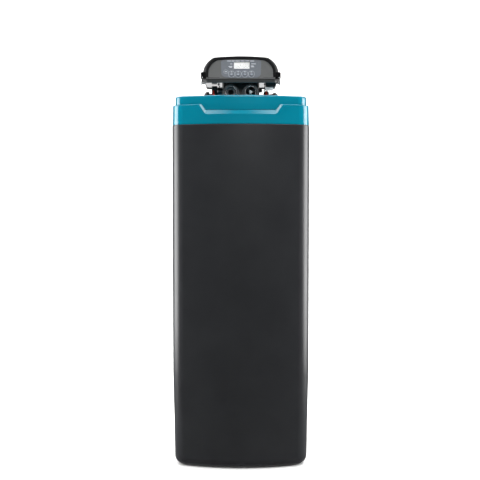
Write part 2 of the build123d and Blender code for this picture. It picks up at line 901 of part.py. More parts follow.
# Port fittings: a flanged tail in each port, held by a ribbed union nut
nut_radius = 26.2
nut_rib_depth = 1.3
nut_rib_count = 24
nut_lip = 2.6
nut_wall_gap = 0.3
nut_skirt = 8.5
tail_flange_radius = 22.8
tail_flange_height = 4.0
tail_length = 24.0
tail_relief = 0.6
tail_end_chamfer = 1.0
tail_seat_y = port_end_y
tail_flange_y = tail_seat_y - tail_flange_height
tail_end_y = tail_seat_y - tail_length
nut_front_y = tail_flange_y - nut_lip - seat_gap
nut_back_y = port_end_y + nut_skirt


def union_nut(centre_x):
    """A round union nut with grip ribs round its rim."""
    with BuildPart() as nut:
        with BuildSketch(Plane.XZ.offset(-nut_front_y)):
            with Locations((centre_x, port_z)):
                Circle(nut_radius)
                with PolarLocations(nut_radius, nut_rib_count):
                    Circle(nut_rib_depth / 2, mode=Mode.SUBTRACT)
        extrude(amount=nut_front_y - nut_back_y)
        add(
            rod_along_y(
                centre_x,
                port_z,
                nut_front_y + nut_lip,
                nut_back_y - nut_front_y,
                port_thread_radius + nut_wall_gap,
            ),
            mode=Mode.SUBTRACT,
        )
        add(
            rod_along_y(
                centre_x,
                port_z,
                nut_front_y - cut_overrun,
                nut_lip + 2 * cut_overrun,
                port_radius + seat_gap,
            ),
            mode=Mode.SUBTRACT,
        )
    return nut.part


def port_tail(centre_x):
    """A flanged pipe stub that stands out of its nut."""
    with BuildPart() as tail:
        stub_length = nut_front_y - seat_gap - tail_end_y
        add(rod_along_y(centre_x, port_z, tail_end_y, stub_length, port_radius))
        chamfer(tail.edges().group_by(Axis.Y)[0], tail_end_chamfer)
        add(
            rod_along_y(
                centre_x,
                port_z,
                tail_end_y + tail_end_chamfer,
                tail_length - tail_end_chamfer,
                port_radius - tail_relief,
            )
        )
        add(
            rod_along_y(centre_x, port_z, tail_flange_y, tail_flange_height, tail_flange_radius)
        )
        add(
            rod_along_y(
                centre_x,
                port_z,
                tail_end_y - cut_overrun,
                tail_length + 2 * cut_overrun,
                port_bore_radius,
            ),
            mode=Mode.SUBTRACT,
        )
    return tail.part


with BuildPart() as inlet_nut:
    add(union_nut(-port_x))
inlet_nut.part.label = "inlet_nut"
export_step(inlet_nut.part, "parts/inlet_nut.step")

with BuildPart() as outlet_nut:
    add(union_nut(port_x))
outlet_nut.part.label = "outlet_nut"
export_step(outlet_nut.part, "parts/outlet_nut.step")

with BuildPart() as inlet_tail:
    add(port_tail(-port_x))
inlet_tail.part.label = "inlet_tail"
export_step(inlet_tail.part, "parts/inlet_tail.step")

# Insert with a hexagonal bore, pushed into the inlet
insert_length = 8.0
insert_set_back = 9.0
insert_hex_radius = 9.6

with BuildPart() as inlet_insert:
    add(
        rod_along_y(
            -port_x,
            port_z,
            tail_end_y + insert_set_back,
            insert_length,
            port_bore_radius - seat_gap / 2,
        )
    )
    with BuildSketch(Plane.XZ.offset(-tail_end_y - insert_set_back + cut_overrun)):
        with Locations((-port_x, port_z)):
            RegularPolygon(insert_hex_radius, 6)
    extrude(amount=-insert_length - 2 * cut_overrun, mode=Mode.SUBTRACT)
inlet_insert.part.label = "inlet_insert"
export_step(inlet_insert.part, "parts/inlet_insert.step")

# Water meter in the outlet: a spider carries the axle of a three-blade turbine
spider_thickness = 2.0
spider_arm_width = 2.2
spider_hub_radius = 3.2
axle_radius = 1.2
turbine_length = 9.0
turbine_set_back = 2.5
turbine_hub_radius = 3.4
turbine_radius = 13.4
blade_thickness = 1.5
blade_count = 3
blade_twist = 55.0
turbine_start_y = tail_end_y + turbine_set_back
turbine_end_y = turbine_start_y + turbine_length
spider_start_y = turbine_end_y + seat_gap

with BuildPart() as outlet_tail:
    add(port_tail(port_x))
    with BuildSketch(Plane.XZ.offset(-spider_start_y)):
        with Locations((port_x, port_z)):
            Circle(spider_hub_radius)
            with PolarLocations(port_bore_radius / 2, blade_count):
                Rectangle(port_bore_radius + spider_arm_width / 2, spider_arm_width)
    extrude(amount=-spider_thickness)
    add(
        rod_along_y(
            port_x,
            port_z,
            turbine_start_y - seat_gap,
            turbine_length + spider_thickness,
            axle_radius,
        )
    )
outlet_tail.part.label = "outlet_tail"
export_step(outlet_tail.part, "parts/outlet_tail.step")

blade_stations = 3
blade_root_radius = turbine_hub_radius / 2
with BuildPart() as turbine_blade:
    for station in range(blade_stations):
        station_share = station / (blade_stations - 1)
        with BuildSketch(Plane.XZ.offset(-turbine_start_y - station_share * turbine_length)):
            with Locations(Location((port_x, port_z, 0), (0, 0, station_share * blade_twist))):
                with Locations((blade_root_radius, 0)):
                    Rectangle(
                        turbine_radius - blade_root_radius,
                        blade_thickness,
                        align=(Align.MIN, Align.CENTER),
                    )
    loft()

turbine_axis = Axis((port_x, turbine_start_y, port_z), (0, 1, 0))
with BuildPart() as meter_turbine:
    add(rod_along_y(port_x, port_z, turbine_start_y, turbine_length, turbine_hub_radius))
    for blade in range(blade_count):
        add(turbine_blade.part.rotate(turbine_axis, blade * 360 / blade_count))
    add(
        rod_along_y(
            port_x,
            port_z,
            turbine_start_y - cut_overrun,
            turbine_length + 2 * cut_overrun,
            axle_radius + shaft_clearance,
        ),
        mode=Mode.SUBTRACT,
    )
meter_turbine.part.label = "meter_turbine"
export_step(meter_turbine.part, "parts/meter_turbine.step")

# Sensor of the meter, a plug in the block's right side, and its lead up to the hood base
lead_radius = 1.3
lead_bend_radius = 5.0
lead_reach = 8.0
lead_seat = 0.3
sensor_end_x = block_half_width + sensor_length
hood_base_z = block_top_z

with BuildPart() as meter_sensor:
    add(rod_along_x(block_half_width, sensor_length, probe_y, probe_z, sensor_radius))
    chamfer(meter_sensor.edges().group_by(Axis.X)[-1], sensor_radius / 4)
meter_sensor.part.label = "meter_sensor"
export_step(meter_sensor.part, "parts/meter_sensor.step")

with BuildPart() as meter_lead:
    with BuildLine() as sensor_route:
        FilletPolyline(
            (sensor_end_x, probe_y, probe_z),
            (sensor_end_x + lead_reach, probe_y, probe_z),
            (sensor_end_x + lead_reach, probe_y, hood_base_z),
            radius=lead_bend_radius,
        )
    with BuildSketch(Plane.YZ.offset(sensor_end_x)):
        with Locations((probe_y, probe_z)):
            Circle(lead_radius)
    sweep(path=sensor_route.wires()[0])
meter_lead.part.label = "meter_lead"
export_step(meter_lead.part, "parts/meter_lead.step")

# Probe in the block's left side, and its lead
probe_lead_x = -block_half_width - probe_length / 2
probe_lead_shift = 6.0
probe_lead_rise = 6.0
probe_top_z = probe_z + probe_radius

with BuildPart() as inlet_probe:
    add(
        rod_along_x(
            -block_half_width - probe_length, probe_length, probe_y, probe_z, probe_radius
        )
    )
    chamfer(inlet_probe.edges().group_by(Axis.X)[0], probe_radius / 4)
    add(rod_along_x(-block_half_width, probe_tip_length, probe_y, probe_z, probe_tip_radius))
inlet_probe.part.label = "inlet_probe"
export_step(inlet_probe.part, "parts/inlet_probe.step")

with BuildPart() as probe_lead:
    with BuildLine() as probe_route:
        FilletPolyline(
            (probe_lead_x, probe_y, probe_top_z - lead_seat),
            (probe_lead_x, probe_y, probe_top_z + probe_lead_rise / 2),
            (probe_lead_x - probe_lead_shift / 2, probe_y, hood_base_z - probe_lead_rise / 2),
            (probe_lead_x - probe_lead_shift / 2, probe_y, hood_base_z),
            radius=lead_bend_radius / 2,
        )
    with BuildSketch(Plane.XY.offset(probe_top_z - lead_seat)):
        with Locations((probe_lead_x, probe_y)):
            Circle(lead_radius)
    sweep(path=probe_route.wires()[0])
    add(
        rod_along_x(
            -block_half_width - probe_length, probe_length, probe_y, probe_z, probe_radius
        ),
        mode=Mode.SUBTRACT,
    )
probe_lead.part.label = "probe_lead"
export_step(probe_lead.part, "parts/probe_lead.step")

# Injector cap: a hexagonal plug in the back of the block
injector_hex_height = 8.0

with BuildPart() as injector_cap:
    with BuildSketch(Plane.XZ.offset(-block_back_y)):
        with Locations((injector_x, port_z)):
            RegularPolygon(injector_cap_radius, 6)
    extrude(amount=-injector_hex_height)
    add(
        rod_along_y(
            injector_x,
            port_z,
            block_back_y - injector_bore_depth + seat_gap,
            injector_bore_depth - seat_gap,
            injector_bore_radius,
        )
    )
injector_cap.part.label = "injector_cap"
export_step(injector_cap.part, "parts/injector_cap.step")

# Drain elbow on the left: an upright housing on a neck, with a hose barb at its foot
drain_neck_radius = 8.5
housing_half_width = 8.25
housing_half_depth = 9.0
drain_housing_x = -79.25
drain_housing_rise = 23.2
drain_housing_drop = 17.0
housing_edge_radius = 2.0
barb_drop = 7.0
barb_root_radius = 7.4
barb_tip_radius = 9.0
barb_length = 23.0
barb_count = 3
barb_bore_radius = 5.0
clip_gap = 0.3
clip_leg_thickness = 2.2
clip_leg_length = 13.0
clip_leg_width = 3.0
clip_tab_height = 16.0
clip_tab_width = 8.0
clip_tab_top_width = 2.4
clip_tab_depth = 5.5
clip_tab_lean = 2.0
housing_front_y = side_fitting_y - housing_half_depth
drain_clip_rise = 3.0
drain_clip_x = -82.0
drain_clip_z = port_z + drain_clip_rise


def clip_form(centre_x, centre_z, grow):
    """A fork clip: a wedge tab outside, and two legs that run into the housing."""
    with BuildPart() as clip:
        if not grow:
            with BuildSketch(Plane.YZ.offset(centre_x - clip_tab_width / 2)):
                Polygon(
                    (housing_front_y, centre_z - clip_tab_height / 2),
                    (housing_front_y, centre_z + clip_tab_height / 2),
                    (housing_front_y - clip_tab_lean, centre_z + clip_tab_height / 2),
                    (housing_front_y - clip_tab_depth, centre_z - clip_tab_height / 2),
                    align=None,
                )
            extrude(amount=clip_tab_width)
            edges = clip.edges().filter_by(Axis.X).sort_by(Axis.Y)[:2]
            fillet(edges, clip_tab_lean / 2)
            with BuildSketch(Plane.XZ.offset(-housing_front_y)):
                Polygon(
                    (centre_x - clip_tab_width / 2, centre_z - clip_tab_height / 2),
                    (centre_x + clip_tab_width / 2, centre_z - clip_tab_height / 2),
                    (centre_x + clip_tab_top_width / 2, centre_z + clip_tab_height / 2),
                    (centre_x - clip_tab_top_width / 2, centre_z + clip_tab_height / 2),
                    align=None,
                )
            extrude(amount=clip_tab_depth, mode=Mode.INTERSECT)
        with BuildSketch(Plane.XZ.offset(-housing_front_y)):
            with Locations(
                (centre_x, centre_z - clip_tab_height / 2 + clip_leg_thickness),
                (centre_x, centre_z + clip_tab_height / 2 - clip_leg_thickness),
            ):
                Rectangle(clip_leg_width + 2 * grow, clip_leg_thickness + 2 * grow)
        extrude(amount=-clip_leg_length - grow)
    return clip.part


def barb_profile_points(root_radius, tip_radius, length, count):
    """(distance, radius) points of a hose barb that tapers outwards in equal teeth."""
    pitch = length / count
    points = [(0, root_radius)]
    for tooth in range(count):
        points.append((tooth * pitch, tip_radius))
        points.append(((tooth + 1) * pitch, root_radius))
    return points


def cut_clip_slots(centre_x, centre_z):
    """The two slots in a housing that its clip's legs run in."""
    return clip_form(centre_x, centre_z, clip_gap)


barb_z = port_z - barb_drop
barb_start_x = drain_housing_x - housing_half_width

with BuildPart() as drain_elbow:
    with BuildSketch(Plane.XY.offset(port_z - drain_housing_drop)):
        with Locations((drain_housing_x, side_fitting_y)):
            RectangleRounded(2 * housing_half_width, 2 * housing_half_depth, housing_edge_radius)
    extrude(amount=drain_housing_rise + drain_housing_drop)
    fillet(drain_elbow.edges().group_by(Axis.Z)[-1], housing_edge_radius / 2)
    neck_length_x = -block_half_width - drain_housing_x
    add(
        rod_along_x(
            drain_housing_x, neck_length_x, side_fitting_y, drain_neck_z, drain_neck_radius
        )
    )
    add(
        rod_along_x(
            -block_half_width,
            side_socket_depth - seat_gap,
            side_fitting_y,
            drain_neck_z,
            side_socket_radius,
        )
    )
    with BuildSketch(Plane.XZ.offset(-side_fitting_y)):
        with BuildLine():
            Polyline(
                (barb_start_x + housing_half_width, barb_z),
                (barb_start_x + housing_half_width, barb_z + barb_root_radius),
                *[
                    (barb_start_x - distance, barb_z + radius)
                    for distance, radius in barb_profile_points(
                        barb_root_radius, barb_tip_radius, barb_length, barb_count
                    )
                ],
                (barb_start_x - barb_length, barb_z),
                close=True,
            )
        make_face()
    revolve(axis=Axis((0, side_fitting_y, barb_z), (1, 0, 0)))
    add(
        rod_along_x(
            barb_start_x - barb_length - cut_overrun,
            barb_length + housing_half_width + cut_overrun,
            side_fitting_y,
            barb_z,
            barb_bore_radius,
        ),
        mode=Mode.SUBTRACT,
    )
    add(cut_clip_slots(drain_clip_x, drain_clip_z), mode=Mode.SUBTRACT)
drain_elbow.part.label = "drain_elbow"
export_step(drain_elbow.part, "parts/drain_elbow.step")

with BuildPart() as drain_clip:
    add(clip_form(drain_clip_x, drain_clip_z, 0))
drain_clip.part.label = "drain_clip"
export_step(drain_clip.part, "parts/drain_clip.step")

# Brine elbow on the right: a domed upright barrel on a neck, with a union nut for the line
brine_barrel_x = 77.2
brine_barrel_radius = 8.6
brine_dome_rise = 1.8
brine_barrel_drop = 20.0
brine_neck_radius = 8.2
brine_clip_rise = 0.4
brine_stub_length = 22.0
brine_stub_radius = 7.6
brine_nut_radius = 10.4
brine_nut_length = 26.0
line_radius = 4.75
brine_clip_z = port_z + brine_clip_rise
brine_face_x = brine_barrel_x + brine_barrel_radius
brine_stub_end_x = brine_face_x + brine_stub_length
line_start_x = brine_stub_end_x - line_radius

with BuildPart() as brine_elbow:
    add(
        upright(
            brine_barrel_x,
            side_fitting_y,
            port_z - brine_barrel_drop,
            port_z + brine_dome_rise,
            brine_barrel_radius,
        )
    )
    with Locations((brine_barrel_x, side_fitting_y, port_z + brine_dome_rise)):
        Sphere(brine_barrel_radius)
    add(
        rod_along_x(
            block_half_width,
            brine_barrel_x - block_half_width,
            side_fitting_y,
            brine_neck_z,
            brine_neck_radius,
        )
    )
    add(
        rod_along_x(
            block_half_width - side_socket_depth + seat_gap,
            side_socket_depth,
            side_fitting_y,
            brine_neck_z,
            side_socket_radius,
        )
    )
    add(
        rod_along_x(
            brine_barrel_x,
            brine_stub_end_x - brine_barrel_x,
            side_fitting_y,
            brine_neck_z,
            brine_stub_radius,
        )
    )
    # flat pad in front that the clip's tab closes against
    with BuildSketch(Plane.XZ.offset(-housing_front_y)):
        with Locations((brine_barrel_x, brine_clip_z)):
            Rectangle(clip_tab_width, clip_tab_height)
    extrude(amount=-housing_half_depth)
    add(
        rod_along_x(
            line_start_x - seat_gap,
            line_radius + seat_gap + cut_overrun,
            side_fitting_y,
            brine_neck_z,
            line_radius + shaft_clearance,
        ),
        mode=Mode.SUBTRACT,
    )
    add(cut_clip_slots(brine_barrel_x, brine_clip_z), mode=Mode.SUBTRACT)
brine_elbow.part.label = "brine_elbow"
export_step(brine_elbow.part, "parts/brine_elbow.step")

with BuildPart() as brine_clip:
    add(clip_form(brine_barrel_x, brine_clip_z, 0))
brine_clip.part.label = "brine_clip"
export_step(brine_clip.part, "parts/brine_clip.step")

brine_nut_back_gap = 0.5
with BuildPart() as brine_nut:
    with BuildSketch(Plane.YZ.offset(brine_face_x + brine_nut_back_gap)):
        with Locations((side_fitting_y, brine_neck_z)):
            RegularPolygon(brine_nut_radius, 6)
    extrude(amount=brine_nut_length - brine_nut_back_gap)
    chamfer(brine_nut.edges().group_by(Axis.X)[-1], brine_nut_radius / 8)
    add(
        rod_along_x(
            brine_face_x,
            brine_stub_length + seat_gap,
            side_fitting_y,
            brine_neck_z,
            brine_stub_radius + shaft_clearance,
        ),
        mode=Mode.SUBTRACT,
    )
    add(
        rod_along_x(
            brine_face_x,
            brine_nut_length + cut_overrun,
            side_fitting_y,
            brine_neck_z,
            line_radius + shaft_clearance,
        ),
        mode=Mode.SUBTRACT,
    )
brine_nut.part.label = "brine_nut"
export_step(brine_nut.part, "parts/brine_nut.step")

# Hood base: a shallow tray on the valve block that carries the drive. A skirt hangs round
# it, and its rim steps in above the flange, which leaves a shadow line under the hood
tray_half_width = 107.5
tray_height = 9.0
tray_flange_height = 6.0
tray_skirt_drop = 3.0
tray_step = 2.5
tray_floor = 3.0
tray_wall = 3.0
tray_corner_radius = 16.0
tray_edge_radius = 2.0
tray_hole_gap = 3.0
strike_length = 20.0
strike_reach = 5.5
strike_lip_drop = 1.2
strike_lip_thickness = 1.8
latch_forward = 72.5
latch_y = tank_y - latch_forward
hood_front_y = tank_y - hood_reach
hood_back_y = hood_front_y + hood_depth
tray_flange_top_z = hood_base_z + tray_flange_height
tray_top_z = hood_base_z + tray_height
tray_floor_z = hood_base_z + tray_floor
tray_skirt_z = hood_base_z - tray_skirt_drop
hood_seat_z = tray_top_z + seat_gap
tray_mid_y = (hood_front_y + hood_back_y) / 2
strike_inner_x = tray_half_width - tray_wall
strike_end_x = tray_half_width + strike_reach


def tray_outline(inset):
    """The tray's plan outline, drawn in by inset all round."""
    with BuildSketch() as outline:
        with Locations((0, tray_mid_y)):
            RectangleRounded(
                2 * (tray_half_width - inset), hood_depth - 2 * inset, tray_corner_radius - inset
            )
    return outline.sketch


def strike_plates():
    """The two flat plates that are let into the skirt's ends and stand out of them."""
    with BuildPart() as plates:
        with BuildSketch(Plane.XY.offset(tray_skirt_z)):
            for side in (-1, 1):
                with Locations((side * (strike_inner_x + strike_end_x) / 2, latch_y)):
                    Rectangle(strike_end_x - strike_inner_x, strike_length)
        extrude(amount=tray_skirt_drop)
    return plates.part


with BuildPart() as hood_base:
    with BuildSketch(Plane.XY.offset(tray_skirt_z)):
        add(tray_outline(0))
    extrude(amount=tray_skirt_drop + tray_flange_height)
    fillet(hood_base.edges().group_by(Axis.Z)[0], tray_edge_radius)
    with BuildSketch(Plane.XY.offset(tray_flange_top_z)):
        add(tray_outline(tray_step))
    extrude(amount=tray_top_z - tray_flange_top_z)
    with BuildSketch(Plane.XY.offset(tray_floor_z)):
        add(tray_outline(tray_step + tray_wall))
    extrude(amount=tray_height, mode=Mode.SUBTRACT)
    with BuildSketch(Plane.XY.offset(hood_base_z)):
        add(tray_outline(tray_wall))
    extrude(amount=-tray_skirt_drop - cut_overrun, mode=Mode.SUBTRACT)
    with BuildSketch(Plane.XY.offset(tray_floor_z + cut_overrun)):
        with Locations((0, tank_y)):
            Circle(cap_flange_radius + tray_hole_gap)
    extrude(amount=-tray_floor - 2 * cut_overrun, mode=Mode.SUBTRACT)
    add(strike_plates(), mode=Mode.SUBTRACT)
hood_base.part.label = "hood_base"
export_step(hood_base.part, "parts/hood_base.step")

# Strikes for the two latches: plates with a lip that the wire hooks behind
with BuildPart() as latch_strikes:
    add(strike_plates())
    with BuildSketch(Plane.XY.offset(tray_skirt_z)):
        for side in (-1, 1):
            with Locations((side * (strike_end_x - strike_lip_thickness / 2), latch_y)):
                Rectangle(strike_lip_thickness, strike_length)
    extrude(amount=-strike_lip_drop)
latch_strikes.part.label = "latch_strikes"
export_step(latch_strikes.part, "parts/latch_strikes.step")

# Power socket under the base's right end, with the clear boot that covers its leads
socket_x = 89.0
socket_half_width = 15.0
socket_forward = 62.0
socket_depth = 26.0
socket_height = 12.0
socket_chamfer = 4.0
boot_half_width = 12.0
boot_shift = 4.5
boot_thickness = 9.0
boot_corner_radius = 4.0
boot_depth = 18.0
socket_y = tank_y - socket_forward

with BuildPart() as power_socket:
    with BuildSketch(Plane.XY.offset(hood_base_z)):
        with Locations((socket_x, socket_y)):
            Rectangle(2 * socket_half_width, socket_depth)
    extrude(amount=-socket_height)
    low_edges = power_socket.edges().group_by(Axis.Z)[0]
    chamfer(low_edges.sort_by(Axis.X)[-1], socket_chamfer)
power_socket.part.label = "power_socket"
export_step(power_socket.part, "parts/power_socket.step")

with BuildPart() as socket_boot:
    with BuildSketch(Plane.XZ.offset(-socket_y + boot_depth / 2)):
        with Locations(
            (socket_x - boot_shift, hood_base_z - socket_height - boot_thickness / 2)
        ):
            RectangleRounded(2 * boot_half_width, boot_thickness, boot_corner_radius)
    extrude(amount=-boot_depth)
socket_boot.part.label = "socket_boot"
export_step(socket_boot.part, "parts/socket_boot.step")

# Timer drive: a motor pinion turns the large gear on the disc's shaft
gear_module = 1.5
gear_teeth = 60
pinion_teeth = 15
pressure_angle = 20.0
addendum_share = 0.9
dedendum_share = 1.25
backlash = 0.3
gear_width = 6.0
gear_lift_on_hub = 2.0
gear_hub_radius = 13.0
gear_window_radius = 9.0
gear_window_count = 6
pinion_width = 9.0
pinion_drop = 1.5
motor_shaft_radius = 2.5
gear_pitch_radius = gear_module * gear_teeth / 2
pinion_pitch_radius = gear_module * pinion_teeth / 2
pinion_x = -gear_pitch_radius - pinion_pitch_radius
gear_plate_z = gear_base_z + gear_lift_on_hub
gear_window_ring_radius = (gear_hub_radius + gear_pitch_radius) / 2


def involute(angle):
    """Involute function of an angle in radians."""
    return math.tan(angle) - angle


def gear_points(teeth, start_angle):
    """Outline points of a spur gear with involute flanks."""
    pitch_radius = gear_module * teeth / 2
    base_radius = pitch_radius * math.cos(math.radians(pressure_angle))
    root_radius = pitch_radius - dedendum_share * gear_module
    tip_radius = pitch_radius + addendum_share * gear_module
    low_radius = max(base_radius, root_radius)
    half_pitch_angle = math.pi / (2 * teeth) - backlash / (4 * pitch_radius)
    stations = [low_radius, pitch_radius, (pitch_radius + tip_radius) / 2, tip_radius]
    flank = []
    for radius in stations:
        turn = involute(math.acos(base_radius / radius))
        half_angle = half_pitch_angle + involute(math.radians(pressure_angle)) - turn
        flank.append((radius, half_angle))
    if root_radius < base_radius:
        flank.insert(0, (root_radius, flank[0][1]))
    points = []
    for tooth in range(teeth):
        centre = math.radians(start_angle) + 2 * math.pi * tooth / teeth
        for radius, half_angle in flank:
            points.append((radius, centre - half_angle))
        for radius, half_angle in reversed(flank):
            points.append((radius, centre + half_angle))
    return [(radius * math.cos(angle), radius * math.sin(angle)) for radius, angle in points]


with BuildPart() as drive_gear:
    with BuildSketch(Plane.XY.offset(gear_plate_z)):
        with Locations((0, tank_y)):
            Polygon(*gear_points(gear_teeth, 180), align=None)
            with PolarLocations(gear_window_ring_radius, gear_window_count):
                Circle(gear_window_radius, mode=Mode.SUBTRACT)
    extrude(amount=gear_width)
    add(upright(0, tank_y, gear_base_z, gear_base_z + gear_hub_height, gear_hub_radius))
    add(
        upright(
            0,
            tank_y,
            gear_base_z - cut_overrun,
            gear_base_z + gear_hub_height + cut_overrun,
            drive_shaft_radius + shaft_clearance,
        ),
        mode=Mode.SUBTRACT,
    )
drive_gear.part.label = "drive_gear"
export_step(drive_gear.part, "parts/drive_gear.step")

pinion_base_z = gear_plate_z - pinion_drop
pinion_top_z = pinion_base_z + pinion_width
with BuildPart() as motor_pinion:
    with BuildSketch(Plane.XY.offset(pinion_base_z)):
        with Locations((pinion_x, tank_y)):
            Polygon(*gear_points(pinion_teeth, 180), align=None)
            Circle(motor_shaft_radius + shaft_clearance, mode=Mode.SUBTRACT)
    extrude(amount=pinion_width)
motor_pinion.part.label = "motor_pinion"
export_step(motor_pinion.part, "parts/motor_pinion.step")

# Motor on its bracket, with the shaft down through the pinion
bracket_gap = 0.5
bracket_thickness = 2.5
bracket_half_depth = 20.0
bracket_reach_out = 20.0
bracket_reach_in = 18.0
bracket_leg_width = 8.0
bracket_hole_radius = 7.0
motor_radius = 17.0
motor_height = 26.0
motor_edge_radius = 2.0
bracket_z = pinion_top_z + bracket_gap
bracket_outer_x = pinion_x - pinion_pitch_radius - bracket_reach_out
motor_base_z = bracket_z + bracket_thickness
bracket_leg_x = bracket_outer_x + bracket_leg_width / 2

with BuildPart() as motor_bracket:
    with BuildSketch(Plane.XY.offset(bracket_z)):
        with BuildLine():
            Polyline(
                (bracket_outer_x, tank_y - bracket_half_depth),
                (pinion_x + bracket_reach_in, tank_y - bracket_half_depth),
                (pinion_x + bracket_reach_in, tank_y + bracket_half_depth),
                (bracket_outer_x, tank_y + bracket_half_depth),
                close=True,
            )
        make_face()
        with Locations((pinion_x, tank_y)):
            Circle(bracket_hole_radius, mode=Mode.SUBTRACT)
    extrude(amount=bracket_thickness)
    with BuildSketch(Plane.XY.offset(tray_floor_z)):
        with Locations(
            (bracket_leg_x, tank_y - bracket_half_depth + bracket_leg_width / 2),
            (bracket_leg_x, tank_y + bracket_half_depth - bracket_leg_width / 2),
        ):
            Rectangle(bracket_leg_width, bracket_leg_width)
    extrude(amount=bracket_z - tray_floor_z)
motor_bracket.part.label = "motor_bracket"
export_step(motor_bracket.part, "parts/motor_bracket.step")

with BuildPart() as motor:
    add(upright(pinion_x, tank_y, motor_base_z, motor_base_z + motor_height, motor_radius))
    fillet(motor.edges().group_by(Axis.Z)[-1], motor_edge_radius)
    add(upright(pinion_x, tank_y, pinion_base_z, motor_base_z, motor_shaft_radius))
motor.part.label = "motor"
export_step(motor.part, "parts/motor.step")

# Hood: a moulded shell that lofts from a tilted arched front over a wider middle to a
# lower back, with the grey panel let into its front
hood_lean = 38.7
hood_wall = 3.0
hood_front_half_width = 103.0
hood_mid_half_width = 115.0
hood_back_half_width = 100.0
hood_mid_height = 73.5
hood_back_height = 52.0
hood_mid_setback = 87.0
shoulder_share = 0.3
knee_x_share = 0.93
knee_height_share = 0.66
crown_x_share = 0.72
crown_height_share = 0.945
face_length = math.hypot(hood_height, hood_lean)
face_rise_share = hood_height / face_length
face_lean_share = hood_lean / face_length
hood_mid_y = hood_front_y + hood_mid_setback
face_plane = Plane(
    origin=(0, hood_front_y, hood_seat_z),
    x_dir=(1, 0, 0),
    z_dir=(0, -face_rise_share, face_lean_share),
)


def arch(half_width, height, drop):
    """An arched outline: straight foot, upright sides, rounded shoulders and a low crown."""
    side_top = height * shoulder_share
    knee_x = half_width * knee_x_share
    knee_y = height * knee_height_share
    crown_x = half_width * crown_x_share
    crown_y = height * crown_height_share
    with BuildSketch() as outline:
        with BuildLine():
            Polyline(
                (-half_width, side_top),
                (-half_width, -drop),
                (half_width, -drop),
                (half_width, side_top),
            )
            ThreePointArc((half_width, side_top), (knee_x, knee_y), (crown_x, crown_y))
            ThreePointArc((crown_x, crown_y), (0, height), (-crown_x, crown_y))
            ThreePointArc((-crown_x, crown_y), (-knee_x, knee_y), (-half_width, side_top))
        make_face()
    return outline.sketch


def hood_form(inset, drop):
    """The hood's outer form, or its inside when drawn in by the wall."""
    back_y = hood_back_y - inset
    with BuildPart() as form:
        with BuildSketch(face_plane.offset(-inset)):
            add(arch(hood_front_half_width - inset, face_length - inset, drop))
        with BuildSketch(Plane((0, hood_mid_y, hood_seat_z), (1, 0, 0), (0, -1, 0))):
            add(arch(hood_mid_half_width - inset, hood_mid_height - inset, drop))
        with BuildSketch(Plane((0, back_y, hood_seat_z), (1, 0, 0), (0, -1, 0))):
            add(arch(hood_back_half_width - inset, hood_back_height - inset, drop))
        loft()
    return form.part


# Outlines on the tilted face, measured from its foot
rim_width = 7.2
panel_setback = 2.0
panel_foot_height = 7.0
panel_foot_inset = 1.2
panel_thickness = 2.5
panel_gap = 0.25
overlay_x = 1.0
overlay_half_width = 60.0
overlay_foot_height = 3.9
overlay_height = 63.6
overlay_draw_in = 2.5
overlay_top_radius = 8.0
overlay_bottom_radius = 18.0
overlay_thickness = 0.8
window_x = 2.7
window_half_width = 24.4
window_foot_height = 35.4
window_height = 26.7
window_corner_radius = 2.0
window_thickness = 1.5
button_pitch = 19.5
button_first_x = -27.1
button_height_on_face = 14.6
button_radius = 5.4
button_gap = 0.3


def panel_outline(shrink):
    """The recess in the hood's face: the arch inside the rim, joined to a full-width foot."""
    with BuildSketch() as outline:
        add(
            arch(
                hood_front_half_width - rim_width - shrink,
                face_length - rim_width - shrink,
                hood_wall,
            )
        )
        with Locations((0, panel_foot_height - shrink)):
            Rectangle(
                2 * (hood_front_half_width - panel_foot_inset - shrink),
                panel_foot_height + hood_wall,
                align=(Align.CENTER, Align.MAX),
            )
    return outline.sketch


def overlay_outline():
    """The keypad overlay: rounded, and a little narrower at its foot."""
    low_half = overlay_half_width - overlay_draw_in
    top_y = overlay_foot_height + overlay_height
    with BuildSketch() as outline:
        Polygon(
            (overlay_x - low_half, overlay_foot_height),
            (overlay_x + low_half, overlay_foot_height),
            (overlay_x + overlay_half_width, top_y),
            (overlay_x - overlay_half_width, top_y),
            align=None,
        )
        fillet(outline.vertices().group_by(Axis.Y)[-1], overlay_top_radius)
        fillet(outline.vertices().group_by(Axis.Y)[0], overlay_bottom_radius)
    return outline.sketch


def window_outline(grow):
    """The display window's outline on the face."""
    with BuildSketch() as outline:
        with Locations((window_x, window_foot_height + window_height / 2)):
            RectangleRounded(
                2 * (window_half_width + grow),
                window_height + 2 * grow,
                window_corner_radius + grow,
            )
    return outline.sketch


def button_spots():
    """Centres of the four buttons on the face."""
    return [
        (button_first_x + place * button_pitch, button_height_on_face) for place in range(4)
    ]


# Ears that the latches swing in
ear_half_length = 12.5
ear_height = 20.0
ear_reach = 118.0
ear_inner_x = 102.0
ear_foot_gap = 0.5
ear_corner_radius = 4.0
ear_bore_inset = 4.5
wire_radius = 1.1
wire_bore_depth = 5.0
ear_centre_z = hood_seat_z + ear_foot_gap + ear_height / 2
latch_hinge_x = ear_reach - ear_bore_inset
latch_hinge_z = hood_seat_z + ear_foot_gap + ear_bore_inset

with BuildPart() as hood_hollow:
    add(hood_form(hood_wall, cut_overrun))

